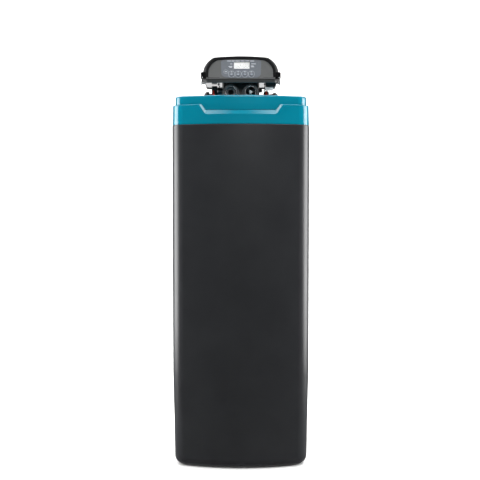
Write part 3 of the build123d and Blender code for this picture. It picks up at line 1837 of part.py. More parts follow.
with BuildPart() as hood_shell:
    add(hood_form(0, 0))
    back_edges = hood_shell.faces().sort_by(Axis.Y)[-1].edges().sort_by(Axis.Z)[1:]
    fillet(back_edges, hood_wall)
    for side in (-1, 1):
        with BuildSketch(Plane.XZ.offset(-latch_y - ear_half_length)):
            with Locations((side * (ear_reach + ear_inner_x) / 2, ear_centre_z)):
                RectangleRounded(ear_reach - ear_inner_x, ear_height, ear_corner_radius)
        extrude(amount=2 * ear_half_length)
    add(hood_hollow.part, mode=Mode.SUBTRACT)
    with BuildSketch(face_plane.offset(cut_overrun)):
        add(panel_outline(0))
    extrude(amount=-hood_wall - panel_setback - cut_overrun, mode=Mode.SUBTRACT)
    for side in (-1, 1):
        for end in (-1, 1):
            bore_start_y = latch_y + end * (ear_half_length - wire_bore_depth)
            with BuildSketch(Plane.XZ.offset(-bore_start_y)):
                with Locations((side * latch_hinge_x, latch_hinge_z)):
                    Circle(wire_radius + shaft_clearance)
            extrude(amount=-end * (wire_bore_depth + cut_overrun), mode=Mode.SUBTRACT)
hood_shell.part.label = "hood_shell"
export_step(hood_shell.part, "parts/hood_shell.step")

# Front panel, keypad overlay and display window
post_radius = 3.0
post_x = 50.0
post_low_height = 10.0
post_high_height = 56.0
board_gap = 9.0
board_thickness = 1.6
board_half_width = 56.0
board_foot_height = 6.0
board_height = 54.0
display_gap = 1.0
panel_back_depth = panel_setback + panel_thickness
window_ledge = 1.2
foot_strip_inner_x = 65.0
foot_strip_outer_x = 101.0
foot_strip_base_height = 0.4
foot_strip_height = 2.8
foot_strip_thickness = 1.2

with BuildPart() as front_panel:
    with BuildSketch(face_plane.offset(-panel_setback)):
        add(panel_outline(panel_gap))
        add(window_outline(panel_gap), mode=Mode.SUBTRACT)
        with Locations(*button_spots()):
            Circle(button_radius + button_gap, mode=Mode.SUBTRACT)
    extrude(amount=-panel_thickness)
    with BuildSketch(face_plane.offset(-panel_back_depth)):
        with Locations(
            (-post_x, post_low_height),
            (post_x, post_low_height),
            (-post_x, post_high_height),
            (post_x, post_high_height),
        ):
            Circle(post_radius)
    extrude(amount=-board_gap)
    # raised strips along the foot, at both sides of the overlay
    with BuildSketch(face_plane.offset(-panel_setback)):
        for side in (-1, 1):
            with Locations(
                (
                    side * (foot_strip_inner_x + foot_strip_outer_x) / 2,
                    foot_strip_base_height + foot_strip_height / 2,
                )
            ):
                Rectangle(foot_strip_outer_x - foot_strip_inner_x, foot_strip_height)
    extrude(amount=foot_strip_thickness)
    split(bisect_by=Plane.XY.offset(hood_seat_z), keep=Keep.TOP)
front_panel.part.label = "front_panel"
export_step(front_panel.part, "parts/front_panel.step")

with BuildPart() as keypad_overlay:
    with BuildSketch(face_plane.offset(-panel_setback)):
        add(overlay_outline())
        add(window_outline(-window_ledge), mode=Mode.SUBTRACT)
        with Locations(*button_spots()):
            Circle(button_radius + button_gap, mode=Mode.SUBTRACT)
    extrude(amount=overlay_thickness)
keypad_overlay.part.label = "keypad_overlay"
export_step(keypad_overlay.part, "parts/keypad_overlay.step")

with BuildPart() as display_window:
    with BuildSketch(face_plane.offset(-panel_setback)):
        add(window_outline(0))
    extrude(amount=-window_thickness)
display_window.part.label = "display_window"
export_step(display_window.part, "parts/display_window.step")

# Circuit board behind the panel, with the display on it
board_depth = panel_back_depth + board_gap
display_depth = panel_setback + window_thickness + display_gap

with BuildPart() as circuit_board:
    with BuildSketch(face_plane.offset(-board_depth)):
        with Locations((0, board_foot_height + board_height / 2)):
            Rectangle(2 * board_half_width, board_height)
    extrude(amount=-board_thickness)
    with BuildSketch(face_plane.offset(-board_depth)):
        add(window_outline(-panel_gap))
    extrude(amount=board_depth - display_depth)
circuit_board.part.label = "circuit_board"
export_step(circuit_board.part, "parts/circuit_board.step")

# Four keypad buttons, each a cap with a flange that stops it behind the panel
button_proud = 0.9
button_flange_radius = 7.0
button_flange_height = 1.2
button_flange_gap = 0.3
button_flange_depth = panel_back_depth + button_flange_gap
button_cap_height = button_flange_depth - panel_setback + overlay_thickness + button_proud
button_edge_radius = 0.6


def button(place):
    """One keypad button at its place in the row."""
    with BuildPart() as cap:
        with BuildSketch(face_plane.offset(-button_flange_depth)):
            with Locations(button_spots()[place]):
                Circle(button_radius)
        extrude(amount=button_cap_height)
        top_edge = cap.edges().sort_by(Axis.Z)[-1]
        fillet(top_edge, button_edge_radius)
        with BuildSketch(face_plane.offset(-button_flange_depth)):
            with Locations(button_spots()[place]):
                Circle(button_flange_radius)
        extrude(amount=-button_flange_height)
    return cap.part


with BuildPart() as button_1:
    add(button(0))
button_1.part.label = "button_1"
export_step(button_1.part, "parts/button_1.step")

with BuildPart() as button_2:
    add(button(1))
button_2.part.label = "button_2"
export_step(button_2.part, "parts/button_2.step")

with BuildPart() as button_3:
    add(button(2))
button_3.part.label = "button_3"
export_step(button_3.part, "parts/button_3.step")

with BuildPart() as button_4:
    add(button(3))
button_4.part.label = "button_4"
export_step(button_4.part, "parts/button_4.step")

# Latches: wire bails that hang from the hood's ears, swung clear of the catches
bail_drop = 20.0
bail_swing = 2.5
bail_side_gap = 2.0
bail_bend_radius = 2.6
bail_end_y = ear_half_length - wire_bore_depth + seat_gap
bail_arm_y = ear_half_length + bail_side_gap + wire_radius


def bail(side):
    """A wire bail for one end of the hood."""
    hinge_x_here = side * latch_hinge_x
    low_x = side * (latch_hinge_x + bail_swing)
    low_z = latch_hinge_z - bail_drop
    with BuildPart() as wire:
        with BuildLine() as route:
            FilletPolyline(
                (hinge_x_here, latch_y - bail_end_y, latch_hinge_z),
                (hinge_x_here, latch_y - bail_arm_y, latch_hinge_z),
                (low_x, latch_y - bail_arm_y, low_z),
                (low_x, latch_y + bail_arm_y, low_z),
                (hinge_x_here, latch_y + bail_arm_y, latch_hinge_z),
                (hinge_x_here, latch_y + bail_end_y, latch_hinge_z),
                radius=bail_bend_radius,
            )
        with BuildSketch(Plane.XZ.offset(-latch_y + bail_end_y)):
            with Locations((hinge_x_here, latch_hinge_z)):
                Circle(wire_radius)
        sweep(path=route.wires()[0])
    return wire.part


with BuildPart() as latch_left:
    add(bail(-1))
latch_left.part.label = "latch_left"
export_step(latch_left.part, "parts/latch_left.step")

with BuildPart() as latch_right:
    add(bail(1))
latch_right.part.label = "latch_right"
export_step(latch_right.part, "parts/latch_right.step")

# Brine well: an upright slotted tube in the front right corner of the salt bin
tube_radius = 45.0
tube_wall = 3.0
tube_side_gap = 19.75
tube_front_gap = 60.0
tube_top_drop = 35.0
tube_slot_width = 4.0
tube_slot_height = 70.0
tube_slot_rise = 10.0
tube_slot_count = 10
line_entry_drop = 36.0
brine_well_x = cabinet_width / 2 - body_wall - tube_side_gap - tube_radius
brine_well_y = body_wall + tube_front_gap + tube_radius - cabinet_depth / 2
tube_top_z = cabinet_height - tube_top_drop
tube_height = tube_top_z - tank_seat_z
line_entry_z = tube_top_z - line_entry_drop

with BuildPart() as brine_well:
    with BuildSketch(Plane.XY.offset(tank_seat_z)):
        with Locations((brine_well_x, brine_well_y)):
            Circle(tube_radius)
            Circle(tube_radius - tube_wall, mode=Mode.SUBTRACT)
    extrude(amount=tube_height)
    with BuildSketch(Plane.XY.offset(tank_seat_z + tube_slot_rise)):
        with Locations((brine_well_x, brine_well_y)):
            with PolarLocations(tube_radius, tube_slot_count):
                Rectangle(3 * tube_wall, tube_slot_width)
    extrude(amount=tube_slot_height, mode=Mode.SUBTRACT)
    add(
        rod_along_y(
            brine_well_x,
            line_entry_z,
            brine_well_y,
            tube_radius + cut_overrun,
            line_radius + seat_gap,
        ),
        mode=Mode.SUBTRACT,
    )
brine_well.part.label = "brine_well"
export_step(brine_well.part, "parts/brine_well.step")

# Cap of the brine well: lifts off
cap_wall = 2.5
cap_skirt = 14.0
cap_side_gap = 0.3
cap_seat_gap = 0.1

with BuildPart() as well_cap:
    with BuildSketch(Plane.XY.offset(tube_top_z + cap_seat_gap)):
        with Locations((brine_well_x, brine_well_y)):
            Circle(tube_radius + cap_side_gap + cap_wall)
    extrude(amount=cap_wall)
    fillet(well_cap.edges().group_by(Axis.Z)[-1], cap_wall / 2)
    with BuildSketch(Plane.XY.offset(tube_top_z + cap_seat_gap)):
        with Locations((brine_well_x, brine_well_y)):
            Circle(tube_radius + cap_side_gap + cap_wall)
            Circle(tube_radius + cap_side_gap, mode=Mode.SUBTRACT)
    extrude(amount=-cap_skirt)
well_cap.part.label = "well_cap"
export_step(well_cap.part, "parts/well_cap.step")

# Safety valve in the well: its block carries the pickup tube, the float rod and the line
safety_block_height = 44.0
safety_block_half_width = 35.0
safety_block_half_depth = 13.0
safety_block_radius = 5.0
safety_ear_height = 10.0
pickup_offset = 24.0
pickup_radius = 6.5
pickup_wall = 1.2
rod_offset = -16.0
rod_radius = 2.0
rod_play = 0.1
rod_travel = 12.0
rod_socket_depth = 26.0
rod_end_gap = 2.0
line_spigot_length = 16.0
safety_base_z = line_entry_z - safety_block_height / 2
safety_top_z = line_entry_z + safety_block_height / 2
pickup_x = brine_well_x + pickup_offset
rod_x = brine_well_x + rod_offset

with BuildPart() as safety_valve:
    with BuildSketch(Plane.XY.offset(safety_base_z)):
        with Locations((brine_well_x, brine_well_y)):
            RectangleRounded(
                2 * safety_block_half_width, 2 * safety_block_half_depth, safety_block_radius
            )
    extrude(amount=safety_block_height)
    # ears that reach the tube's wall
    with BuildSketch(Plane.XY.offset(safety_top_z - safety_ear_height)):
        with Locations((brine_well_x, brine_well_y)):
            Circle(tube_radius - tube_wall - seat_gap)
            Rectangle(2 * tube_radius, 2 * safety_block_half_depth, mode=Mode.INTERSECT)
    extrude(amount=safety_ear_height)
    add(
        upright(
            rod_x,
            brine_well_y,
            safety_base_z - cut_overrun,
            safety_base_z + rod_socket_depth,
            rod_radius + rod_play,
        ),
        mode=Mode.SUBTRACT,
    )
    add(
        upright(
            pickup_x,
            brine_well_y,
            safety_base_z - cut_overrun,
            safety_base_z + pickup_radius,
            pickup_radius + shaft_clearance,
        ),
        mode=Mode.SUBTRACT,
    )
    add(
        rod_along_y(
            brine_well_x,
            line_entry_z,
            brine_well_y,
            safety_block_half_depth + cut_overrun,
            line_radius + shaft_clearance,
        ),
        mode=Mode.SUBTRACT,
    )
safety_valve.part.label = "safety_valve"
export_step(safety_valve.part, "parts/safety_valve.step")

# Float on its rod: slides up when the brine rises
float_radius = 21.0
float_height = 60.0
float_rise = 330.0
float_edge_radius = 5.0
rod_tail = 14.0
float_base_z = tank_seat_z + float_rise
rod_top_z = safety_base_z + rod_socket_depth - rod_travel - rod_end_gap

with BuildPart() as float_rod:
    add(
        upright(rod_x, brine_well_y, float_base_z, float_base_z + float_height, float_radius)
    )
    fillet(float_rod.edges(), float_edge_radius)
    add(upright(rod_x, brine_well_y, float_base_z - rod_tail, rod_top_z, rod_radius))
float_rod.part.label = "float_rod"
export_step(float_rod.part, "parts/float_rod.step")

# Pickup tube, with the cage of the air check at its foot
cage_radius = 11.0
cage_wall = 1.6
cage_height = 48.0
cage_foot_gap = 4.0
cage_slot_width = 3.0
cage_slot_count = 6
ball_radius = 8.0
ball_gap = 0.5
cage_base_z = tank_seat_z + cage_foot_gap
cage_top_z = cage_base_z + cage_height

with BuildPart() as pickup_tube:
    add(
        upright(
            pickup_x,
            brine_well_y,
            cage_top_z - cage_wall,
            safety_base_z + pickup_radius - seat_gap,
            pickup_radius,
        )
    )
    add(upright(pickup_x, brine_well_y, cage_base_z, cage_top_z, cage_radius))
    add(
        upright(
            pickup_x,
            brine_well_y,
            cage_base_z + cage_wall,
            cage_top_z - cage_wall,
            cage_radius - cage_wall,
        ),
        mode=Mode.SUBTRACT,
    )
    add(
        upright(
            pickup_x,
            brine_well_y,
            cage_base_z + cage_wall,
            safety_base_z + pickup_radius,
            pickup_radius - pickup_wall,
        ),
        mode=Mode.SUBTRACT,
    )
    with BuildSketch(Plane.XY.offset(cage_base_z + cage_slot_width)):
        with Locations((pickup_x, brine_well_y)):
            with PolarLocations(cage_radius, cage_slot_count):
                Rectangle(3 * cage_wall, cage_slot_width)
    extrude(amount=cage_height - 3 * cage_slot_width, mode=Mode.SUBTRACT)
pickup_tube.part.label = "pickup_tube"
export_step(pickup_tube.part, "parts/pickup_tube.step")

with BuildPart() as check_ball:
    with Locations((pickup_x, brine_well_y, cage_base_z + cage_wall + ball_gap + ball_radius)):
        Sphere(ball_radius)
check_ball.part.label = "check_ball"
export_step(check_ball.part, "parts/check_ball.step")

# Brine line: from the elbow's nut, down through the deck, to the safety valve
line_bend_radius = 18.0
line_slant_start = 46.0
line_slant_x = 132.0
line_slant_y = 46.0
line_run_in = 70.0
line_foot_y = brine_well_y + line_spigot_length - safety_block_half_depth / 2

with BuildPart() as brine_line:
    with BuildLine() as line_route:
        FilletPolyline(
            (line_start_x, side_fitting_y, brine_neck_z),
            (line_drop_x, side_fitting_y, brine_neck_z),
            (line_drop_x, line_drop_y, well_floor_z - line_slant_start),
            (line_slant_x, line_slant_y, line_entry_z),
            (brine_well_x, brine_well_y + tube_radius + line_run_in, line_entry_z),
            (brine_well_x, line_foot_y, line_entry_z),
            radius=line_bend_radius,
        )
    with BuildSketch(Plane.YZ.offset(line_start_x)):
        with Locations((side_fitting_y, brine_neck_z)):
            Circle(line_radius)
    sweep(path=line_route.wires()[0])
brine_line.part.label = "brine_line"
export_step(brine_line.part, "parts/brine_line.step")

# Overflow elbow in the cabinet's back wall, and the nut that holds it inside
overflow_flange_radius = 15.0
overflow_flange_thickness = 3.0
overflow_reach = 24.0
overflow_inside = 14.0
overflow_barb_length = 27.0
overflow_barb_root_radius = 8.0
overflow_bore_radius = 5.6
overflow_nut_radius = 16.0
overflow_nut_thickness = 7.0
back_y = cabinet_depth / 2
overflow_axis_y = back_y + overflow_reach

with BuildPart() as overflow_elbow:
    add(
        rod_along_y(
            overflow_x,
            overflow_height,
            back_y - body_wall - overflow_inside,
            body_wall + overflow_inside + overflow_reach,
            overflow_spigot_radius,
        )
    )
    add(
        rod_along_y(
            overflow_x, overflow_height, back_y, overflow_flange_thickness, overflow_flange_radius
        )
    )
    with Locations((overflow_x, overflow_axis_y, overflow_height)):
        Sphere(overflow_spigot_radius)
    with BuildSketch(Plane.XZ.offset(-overflow_axis_y)):
        with BuildLine():
            Polyline(
                (overflow_x, overflow_height),
                (overflow_x + overflow_spigot_radius, overflow_height),
                *[
                    (overflow_x + radius, overflow_height - overflow_spigot_radius - distance)
                    for distance, radius in barb_profile_points(
                        overflow_barb_root_radius,
                        overflow_spigot_radius,
                        overflow_barb_length,
                        barb_count,
                    )
                ],
                (
                    overflow_x,
                    overflow_height - overflow_spigot_radius - overflow_barb_length,
                ),
                close=True,
            )
        make_face()
    revolve(axis=Axis((overflow_x, overflow_axis_y, 0), (0, 0, 1)))
    add(
        upright(
            overflow_x,
            overflow_axis_y,
            overflow_height - overflow_spigot_radius - overflow_barb_length - cut_overrun,
            overflow_height,
            overflow_bore_radius,
        ),
        mode=Mode.SUBTRACT,
    )
    add(
        rod_along_y(
            overflow_x,
            overflow_height,
            back_y - body_wall - overflow_inside - cut_overrun,
            body_wall + overflow_inside + overflow_reach + cut_overrun,
            overflow_bore_radius,
        ),
        mode=Mode.SUBTRACT,
    )
overflow_elbow.part.label = "overflow_elbow"
export_step(overflow_elbow.part, "parts/overflow_elbow.step")

with BuildPart() as overflow_nut:
    with BuildSketch(Plane.XZ.offset(-back_y + body_wall)):
        with Locations((overflow_x, overflow_height)):
            RegularPolygon(overflow_nut_radius, 6)
            Circle(overflow_spigot_radius + shaft_clearance, mode=Mode.SUBTRACT)
    extrude(amount=overflow_nut_thickness)
overflow_nut.part.label = "overflow_nut"
export_step(overflow_nut.part, "parts/overflow_nut.step")
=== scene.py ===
import math

import bmesh
import bpy
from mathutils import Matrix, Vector


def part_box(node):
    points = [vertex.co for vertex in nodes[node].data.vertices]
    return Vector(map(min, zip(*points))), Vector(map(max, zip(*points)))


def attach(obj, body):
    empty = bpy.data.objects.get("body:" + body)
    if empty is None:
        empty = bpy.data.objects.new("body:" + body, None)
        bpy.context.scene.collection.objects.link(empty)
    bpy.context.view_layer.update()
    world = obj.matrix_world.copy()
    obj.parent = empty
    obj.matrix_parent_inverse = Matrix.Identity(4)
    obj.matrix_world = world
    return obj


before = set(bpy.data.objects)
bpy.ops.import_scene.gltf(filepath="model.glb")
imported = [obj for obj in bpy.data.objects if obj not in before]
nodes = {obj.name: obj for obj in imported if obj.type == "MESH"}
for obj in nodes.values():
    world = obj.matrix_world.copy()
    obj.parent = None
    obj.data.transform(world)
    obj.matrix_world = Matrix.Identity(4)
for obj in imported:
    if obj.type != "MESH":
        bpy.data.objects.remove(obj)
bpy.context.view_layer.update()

# Studio: a pale painted board that sweeps up behind the softener, and the camera that
# took the photograph, level with the upper cabinet and 2.5 m in front of it.
CAMERA_PLACE = (-0.0023, -2.75, 0.730)
CAMERA_LENS_MM = 70.0
CAMERA_SENSOR_MM = 36.0
CAMERA_DIP_DEG = 2.455
FLOOR_HALF_WIDTH = 4.0
FLOOR_FRONT = -4.0
SWEEP_START = 1.6
SWEEP_RADIUS = 1.2
SWEEP_STEPS = 16
BACKDROP_TOP = 4.0
CAMERA_REACH = 50.0


def linear(hex_colour):
    """An sRGB hex colour as linear RGBA."""
    channels = [int(hex_colour[i : i + 2], 16) / 255 for i in (1, 3, 5)]
    return (*[c / 12.92 if c <= 0.04045 else ((c + 0.055) / 1.055) ** 2.4 for c in channels], 1.0)


def add_node(tree, kind, settings=None, links=None):
    """Adds a node, sets its sockets or properties by name, and links its inputs."""
    made = tree.nodes.new(kind)
    for key, value in (settings or {}).items():
        if isinstance(key, str) and hasattr(made, key):
            setattr(made, key, value)
        else:
            made.inputs[key].default_value = value
    for key, source in (links or {}).items():
        tree.links.new(source, made.inputs[key])
    return made


def new_material(name):
    """An empty node material, its tree, and where each point lies on its object."""
    material = bpy.data.materials.new(name)
    material.use_nodes = True
    tree = material.node_tree
    tree.nodes.clear()
    return material, tree, add_node(tree, "ShaderNodeTexCoord").outputs["Object"]


def relief(tree, height, depth_mm, strength=1.0, invert=False):
    """The normals of a skin that a pattern raises by a depth."""
    bump = add_node(
        tree,
        "ShaderNodeBump",
        {"Strength": strength, "Distance": depth_mm / 1000.0, "invert": invert},
        {"Height": height},
    )
    return bump.outputs["Normal"]


def finish_material(tree, settings, links):
    """Makes the material's shader, and links it to the output."""
    shader = add_node(tree, "ShaderNodeBsdfPrincipled", settings, links)
    add_node(tree, "ShaderNodeOutputMaterial", links={"Surface": shader.outputs[0]})


def two_tone(tree, pattern, dark, light, low=0.3, high=0.7):
    """A colour that runs from dark to light between two levels of a pattern."""
    ramp = add_node(tree, "ShaderNodeValToRGB", links={"Fac": pattern})
    for stop, place, colour in zip(ramp.color_ramp.elements, (low, high), (dark, light)):
        stop.position = place
        stop.color = linear(colour)
    return ramp.outputs["Color"]


def mesh_piece(name, points, faces, material, smooth=False):
    """A mesh object from points and faces, linked to the scene."""
    mesh = bpy.data.meshes.new(name)
    mesh.from_pydata([tuple(point) for point in points], [], faces)
    mesh.materials.append(material)
    mesh.update()
    for face in mesh.polygons:
        face.use_smooth = smooth
    piece = bpy.data.objects.new(name, mesh)
    bpy.context.scene.collection.objects.link(piece)
    return piece


sweep_profile = [(FLOOR_FRONT, 0.0)]
for step in range(SWEEP_STEPS + 1):
    turn = math.pi / 2 * step / SWEEP_STEPS
    sweep_y = SWEEP_START + SWEEP_RADIUS * math.sin(turn)
    sweep_profile.append((sweep_y, SWEEP_RADIUS * (1 - math.cos(turn))))
sweep_profile.append((SWEEP_START + SWEEP_RADIUS, BACKDROP_TOP))

# Painted board: a matt white emulsion, faintly clouded by the roller.
board_paint, tree, where = new_material("matt_emulsion_on_board")
clouds = add_node(
    tree, "ShaderNodeTexNoise", {"Scale": 2.0, "Detail": 3.0}, {"Vector": where}
)
finish_material(
    tree,
    {"Roughness": 0.85, "Specular IOR Level": 0.2},
    {"Base Color": two_tone(tree, clouds.outputs["Fac"], "#f3f3f2", "#f8f8f8")},
)
sweep_points = [(x, y, z) for y, z in sweep_profile for x in (-FLOOR_HALF_WIDTH, FLOOR_HALF_WIDTH)]
sweep_faces = [(2 * i, 2 * i + 1, 2 * i + 3, 2 * i + 2) for i in range(len(sweep_profile) - 1)]
board = mesh_piece("studio_board", sweep_points, sweep_faces, board_paint, smooth=True)
# Glossy pieces don't mirror the board, which would turn their dark flanks grey.
board.visible_glossy = False

camera_data = bpy.data.cameras.new("camera")
camera_data.lens = CAMERA_LENS_MM
camera_data.sensor_width = CAMERA_SENSOR_MM
camera_data.clip_end = CAMERA_REACH
camera = bpy.data.objects.new("camera", camera_data)
camera.location = CAMERA_PLACE
camera.rotation_euler = (math.radians(90.0 - CAMERA_DIP_DEG), 0.0, 0.0)
bpy.context.scene.collection.objects.link(camera)
bpy.context.scene.camera = camera


def softbox(name, place, target, width, height, power, spread):
    """A rectangular studio light that faces a point, narrowed by its grid to a spread."""
    data = bpy.data.lights.new(name, "AREA")
    data.shape = "RECTANGLE"
    data.size = width
    data.size_y = height
    data.energy = power
    data.spread = math.radians(spread)
    light = bpy.data.objects.new(name, data)
    light.location = place
    facing = Vector(target) - Vector(place)
    light.rotation_euler = facing.to_track_quat("-Z", "Y").to_euler()
    light.visible_camera = False
    bpy.context.scene.collection.objects.link(light)
    return light


# Two tall boxes beside the cabinet draw the bright lines down its rounded corners. One high
# in front gives the even light of a catalogue picture, two overhead open up the cover's
# recess, and the last two keep the board and the floor pale.

# Each: name, place, target, width, height, watts and spread in degrees.
SOFTBOXES = [
    ("box_left", (-1.8, 0.12, 0.66), (0.0, 0.0, 0.6), 1.1, 1.26, 36.0, 180.0),
    ("box_right", (1.8, 0.12, 0.66), (0.0, 0.0, 0.6), 1.1, 1.26, 36.0, 180.0),
    ("front_box", (0.35, -3.0, 2.5), (0.0, 0.0, 1.1), 2.0, 1.0, 4.4, 45.0),
    ("top_left", (-1.3, -0.5, 3.0), (0.0, 0.0, 1.05), 2.2, 1.8, 10.0, 60.0),
    ("top_right", (1.3, -0.5, 3.0), (0.0, 0.0, 1.05), 2.2, 1.8, 10.0, 60.0),
    ("board_box", (0.0, 1.0, 3.6), (0.0, 2.8, 0.8), 4.0, 1.0, 95.0, 120.0),
    ("floor_box", (0.0, 1.5, 3.2), (0.0, 1.2, 0.0), 4.0, 1.2, 42.0, 80.0),
]
for settings in SOFTBOXES:
    softbox(*settings)

# A card behind that only the hood's base receives, so that its glossy floor looks pale.
card = softbox("base_card", (0.0, 2.4, 1.2), (0.0, 0.0, 1.06), 4.0, 2.2, 32.0, 180.0)
card_receivers = bpy.data.collections.new("base_card_receivers")
card_receivers.objects.link(nodes["hood_base"])
card.light_linking.receiver_collection = card_receivers

# The room: pale where the camera sees it, pale behind the object, and dim in front of it
# and overhead, as round a camera in a studio with its curtains drawn.
DIM_AIR = 0.08
OVERHEAD_AIR = 0.25
BEHIND_AIR = 0.3
PALE_AIR = 0.95
world = bpy.data.worlds.new("studio_air")
world.use_nodes = True
tree = world.node_tree
tree.nodes.clear()
place = add_node(tree, "ShaderNodeTexCoord")
split = add_node(tree, "ShaderNodeSeparateXYZ", links={"Vector": place.outputs["Generated"]})
overhead = add_node(
    tree,
    "ShaderNodeMapRange",
    {"From Min": 0.3, "From Max": 0.9, "To Min": DIM_AIR, "To Max": OVERHEAD_AIR},
    {"Value": split.outputs["Z"]},
)
behind = add_node(
    tree,
    "ShaderNodeMapRange",
    {"From Min": 0.0, "From Max": 0.5, "To Min": DIM_AIR, "To Max": BEHIND_AIR},
    {"Value": split.outputs["Y"]},
)
brightest = add_node(
    tree,
    "ShaderNodeMath",
    {"operation": "MAXIMUM"},
    {0: overhead.outputs["Result"], 1: behind.outputs["Result"]},
)
dim_air = add_node(tree, "ShaderNodeBackground", links={"Strength": brightest.outputs["Value"]})
pale_air = add_node(tree, "ShaderNodeBackground", {"Strength": PALE_AIR})
path = add_node(tree, "ShaderNodeLightPath")
air = add_node(
    tree,
    "ShaderNodeMixShader",
    links={
        "Fac": path.outputs["Is Camera Ray"],
        1: dim_air.outputs[0],
        2: pale_air.outputs[0],
    },
)
add_node(tree, "ShaderNodeOutputWorld", links={"Surface": air.outputs[0]})
bpy.context.scene.world = world
bpy.context.scene.view_settings.view_transform = "Standard"

# Cabinet: one moulded polyethylene tub, coloured through in anthracite, that holds the
# salt and stands on its foot ring. The mould was blasted, so the skin has a soft peel.
SHEEN_SPREAD = 0.15


def moulded(name, dark, light, roughness, cloud_mm, grain_mm, grain_depth_mm, shader=None):
    """A moulded plastic: clouded colour, uneven sheen, and the grain of its mould."""
    material, tree, where = new_material(name)
    clouds = add_node(
        tree,
        "ShaderNodeTexNoise",
        {"Scale": 1000.0 / cloud_mm, "Detail": 4.0, "Roughness": 0.6},
        {"Vector": where},
    )
    sheen = add_node(
        tree,
        "ShaderNodeMapRange",
        {"To Min": roughness * (1 - SHEEN_SPREAD), "To Max": roughness * (1 + SHEEN_SPREAD)},
        {"Value": clouds.outputs["Fac"]},
    )
    grain = add_node(
        tree,
        "ShaderNodeTexNoise",
        {"Scale": 1000.0 / grain_mm, "Detail": 2.0},
        {"Vector": where},
    )
    bump = relief(tree, grain.outputs["Fac"], grain_depth_mm)
    finish_material(
        tree,
        shader or {},
        {
            "Base Color": two_tone(tree, clouds.outputs["Fac"], dark, light),
            "Roughness": sheen.outputs["Result"],
            "Normal": bump,
        },
    )
    return material


def dress(material, *names):
    """Gives CAD nodes one material."""
    for name in names:
        for place in nodes[name].material_slots:
            place.material = material


# Moulded polyethylene: satin, with a peel about 4 mm across, barely clouded.
cabinet_polyethylene = moulded(
    "moulded_polyethylene_anthracite",
    dark="#252629",
    light="#292a2d",
    roughness=0.34,
    cloud_mm=90.0,
    grain_mm=4.0,
    grain_depth_mm=0.015,
    shader={"IOR": 1.51},
)
dress(cabinet_polyethylene, "cabinet_body")

# Top cover and salt lid: injection-moulded ABS from a polished tool. The deck is fixed,
# and the front half is the lid, with a tongue that hangs into the finger recess.

# Polished ABS: wet-looking gloss with a slow ripple, about 15 mm across, from the flow.
cover_abs = moulded(
    "polished_abs_teal",
    dark="#007a91",
    light="#008098",
    roughness=0.12,
    cloud_mm=140.0,
    grain_mm=15.0,
    grain_depth_mm=0.01,
    shader={"IOR": 1.54},
)
dress(cover_abs, "top_cover", "salt_lid")

# Hinge pins of the lid and screws of the valve's cap: mild steel, cropped or turned, then
# plated. The pins carry the lid on the deck, and the screws hold the cap down.
POLISH_SPREAD = 0.3


def bright_metal(name, dark, light, roughness, streak_mm, stretch=(1.0, 1.0, 1.0)):
    """A bare or plated metal with fine streaks in its polish."""
    material, tree, where = new_material(name)
    drawn = add_node(
        tree, "ShaderNodeMapping", {"Scale": stretch}, {"Vector": where}
    )
    streaks = add_node(
        tree,
        "ShaderNodeTexNoise",
        {"Scale": 1000.0 / streak_mm, "Detail": 3.0},
        {"Vector": drawn.outputs["Vector"]},
    )
    polish = add_node(
        tree,
        "ShaderNodeMapRange",
        {"To Min": roughness * (1 - POLISH_SPREAD), "To Max": roughness * (1 + POLISH_SPREAD)},
        {"Value": streaks.outputs["Fac"]},
    )
    bump = relief(tree, streaks.outputs["Fac"], depth_mm=0.01)
    finish_material(
        tree,
        {"Metallic": 1.0},
        {
            "Base Color": two_tone(tree, streaks.outputs["Fac"], dark, light),
            "Roughness": polish.outputs["Result"],
            "Normal": bump,
        },
    )
    return material


# Bright zinc plate: pale blue-white metal, slightly streaked by the plating barrel.
zinc_plate = bright_metal("barrel_zinc_plated_steel", "#a7abb0", "#cfd2d5", 0.28, streak_mm=1.5)
dress(zinc_plate, "hinge_pins", "cap_screws")

# Tank boot: a ring cup moulded in black polypropylene that stands the round tank upright on
# the cabinet's raised floor.

# Blasted polypropylene: dull black with a leathery grain under a millimetre across.
boot_polypropylene = moulded(
    "blasted_polypropylene_black",
    dark="#1b1c1d",
    light="#232425",
    roughness=0.55,
    cloud_mm=40.0,
    grain_mm=0.8,
    grain_depth_mm=0.04,
    shader={"IOR": 1.49},
)
dress(boot_polypropylene, "tank_boot")

# Resin tank: glass roving wound over a plastic liner at a steep helix and set with epoxy.
# It stands in its boot, and the valve screws onto its neck.

# Wound glass fibre in epoxy: grey-green, with roving bands 9 mm wide that cross at about
# 50 degrees and stand a little proud under a glossy resin coat.
ROVING_BAND_MM = 9.0
WINDING_ANGLE_DEG = 50.0
tank_low, tank_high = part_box("resin_tank")
tank_middle = (tank_low + tank_high) / 2
tank_radius = (tank_high.x - tank_low.x) / 2

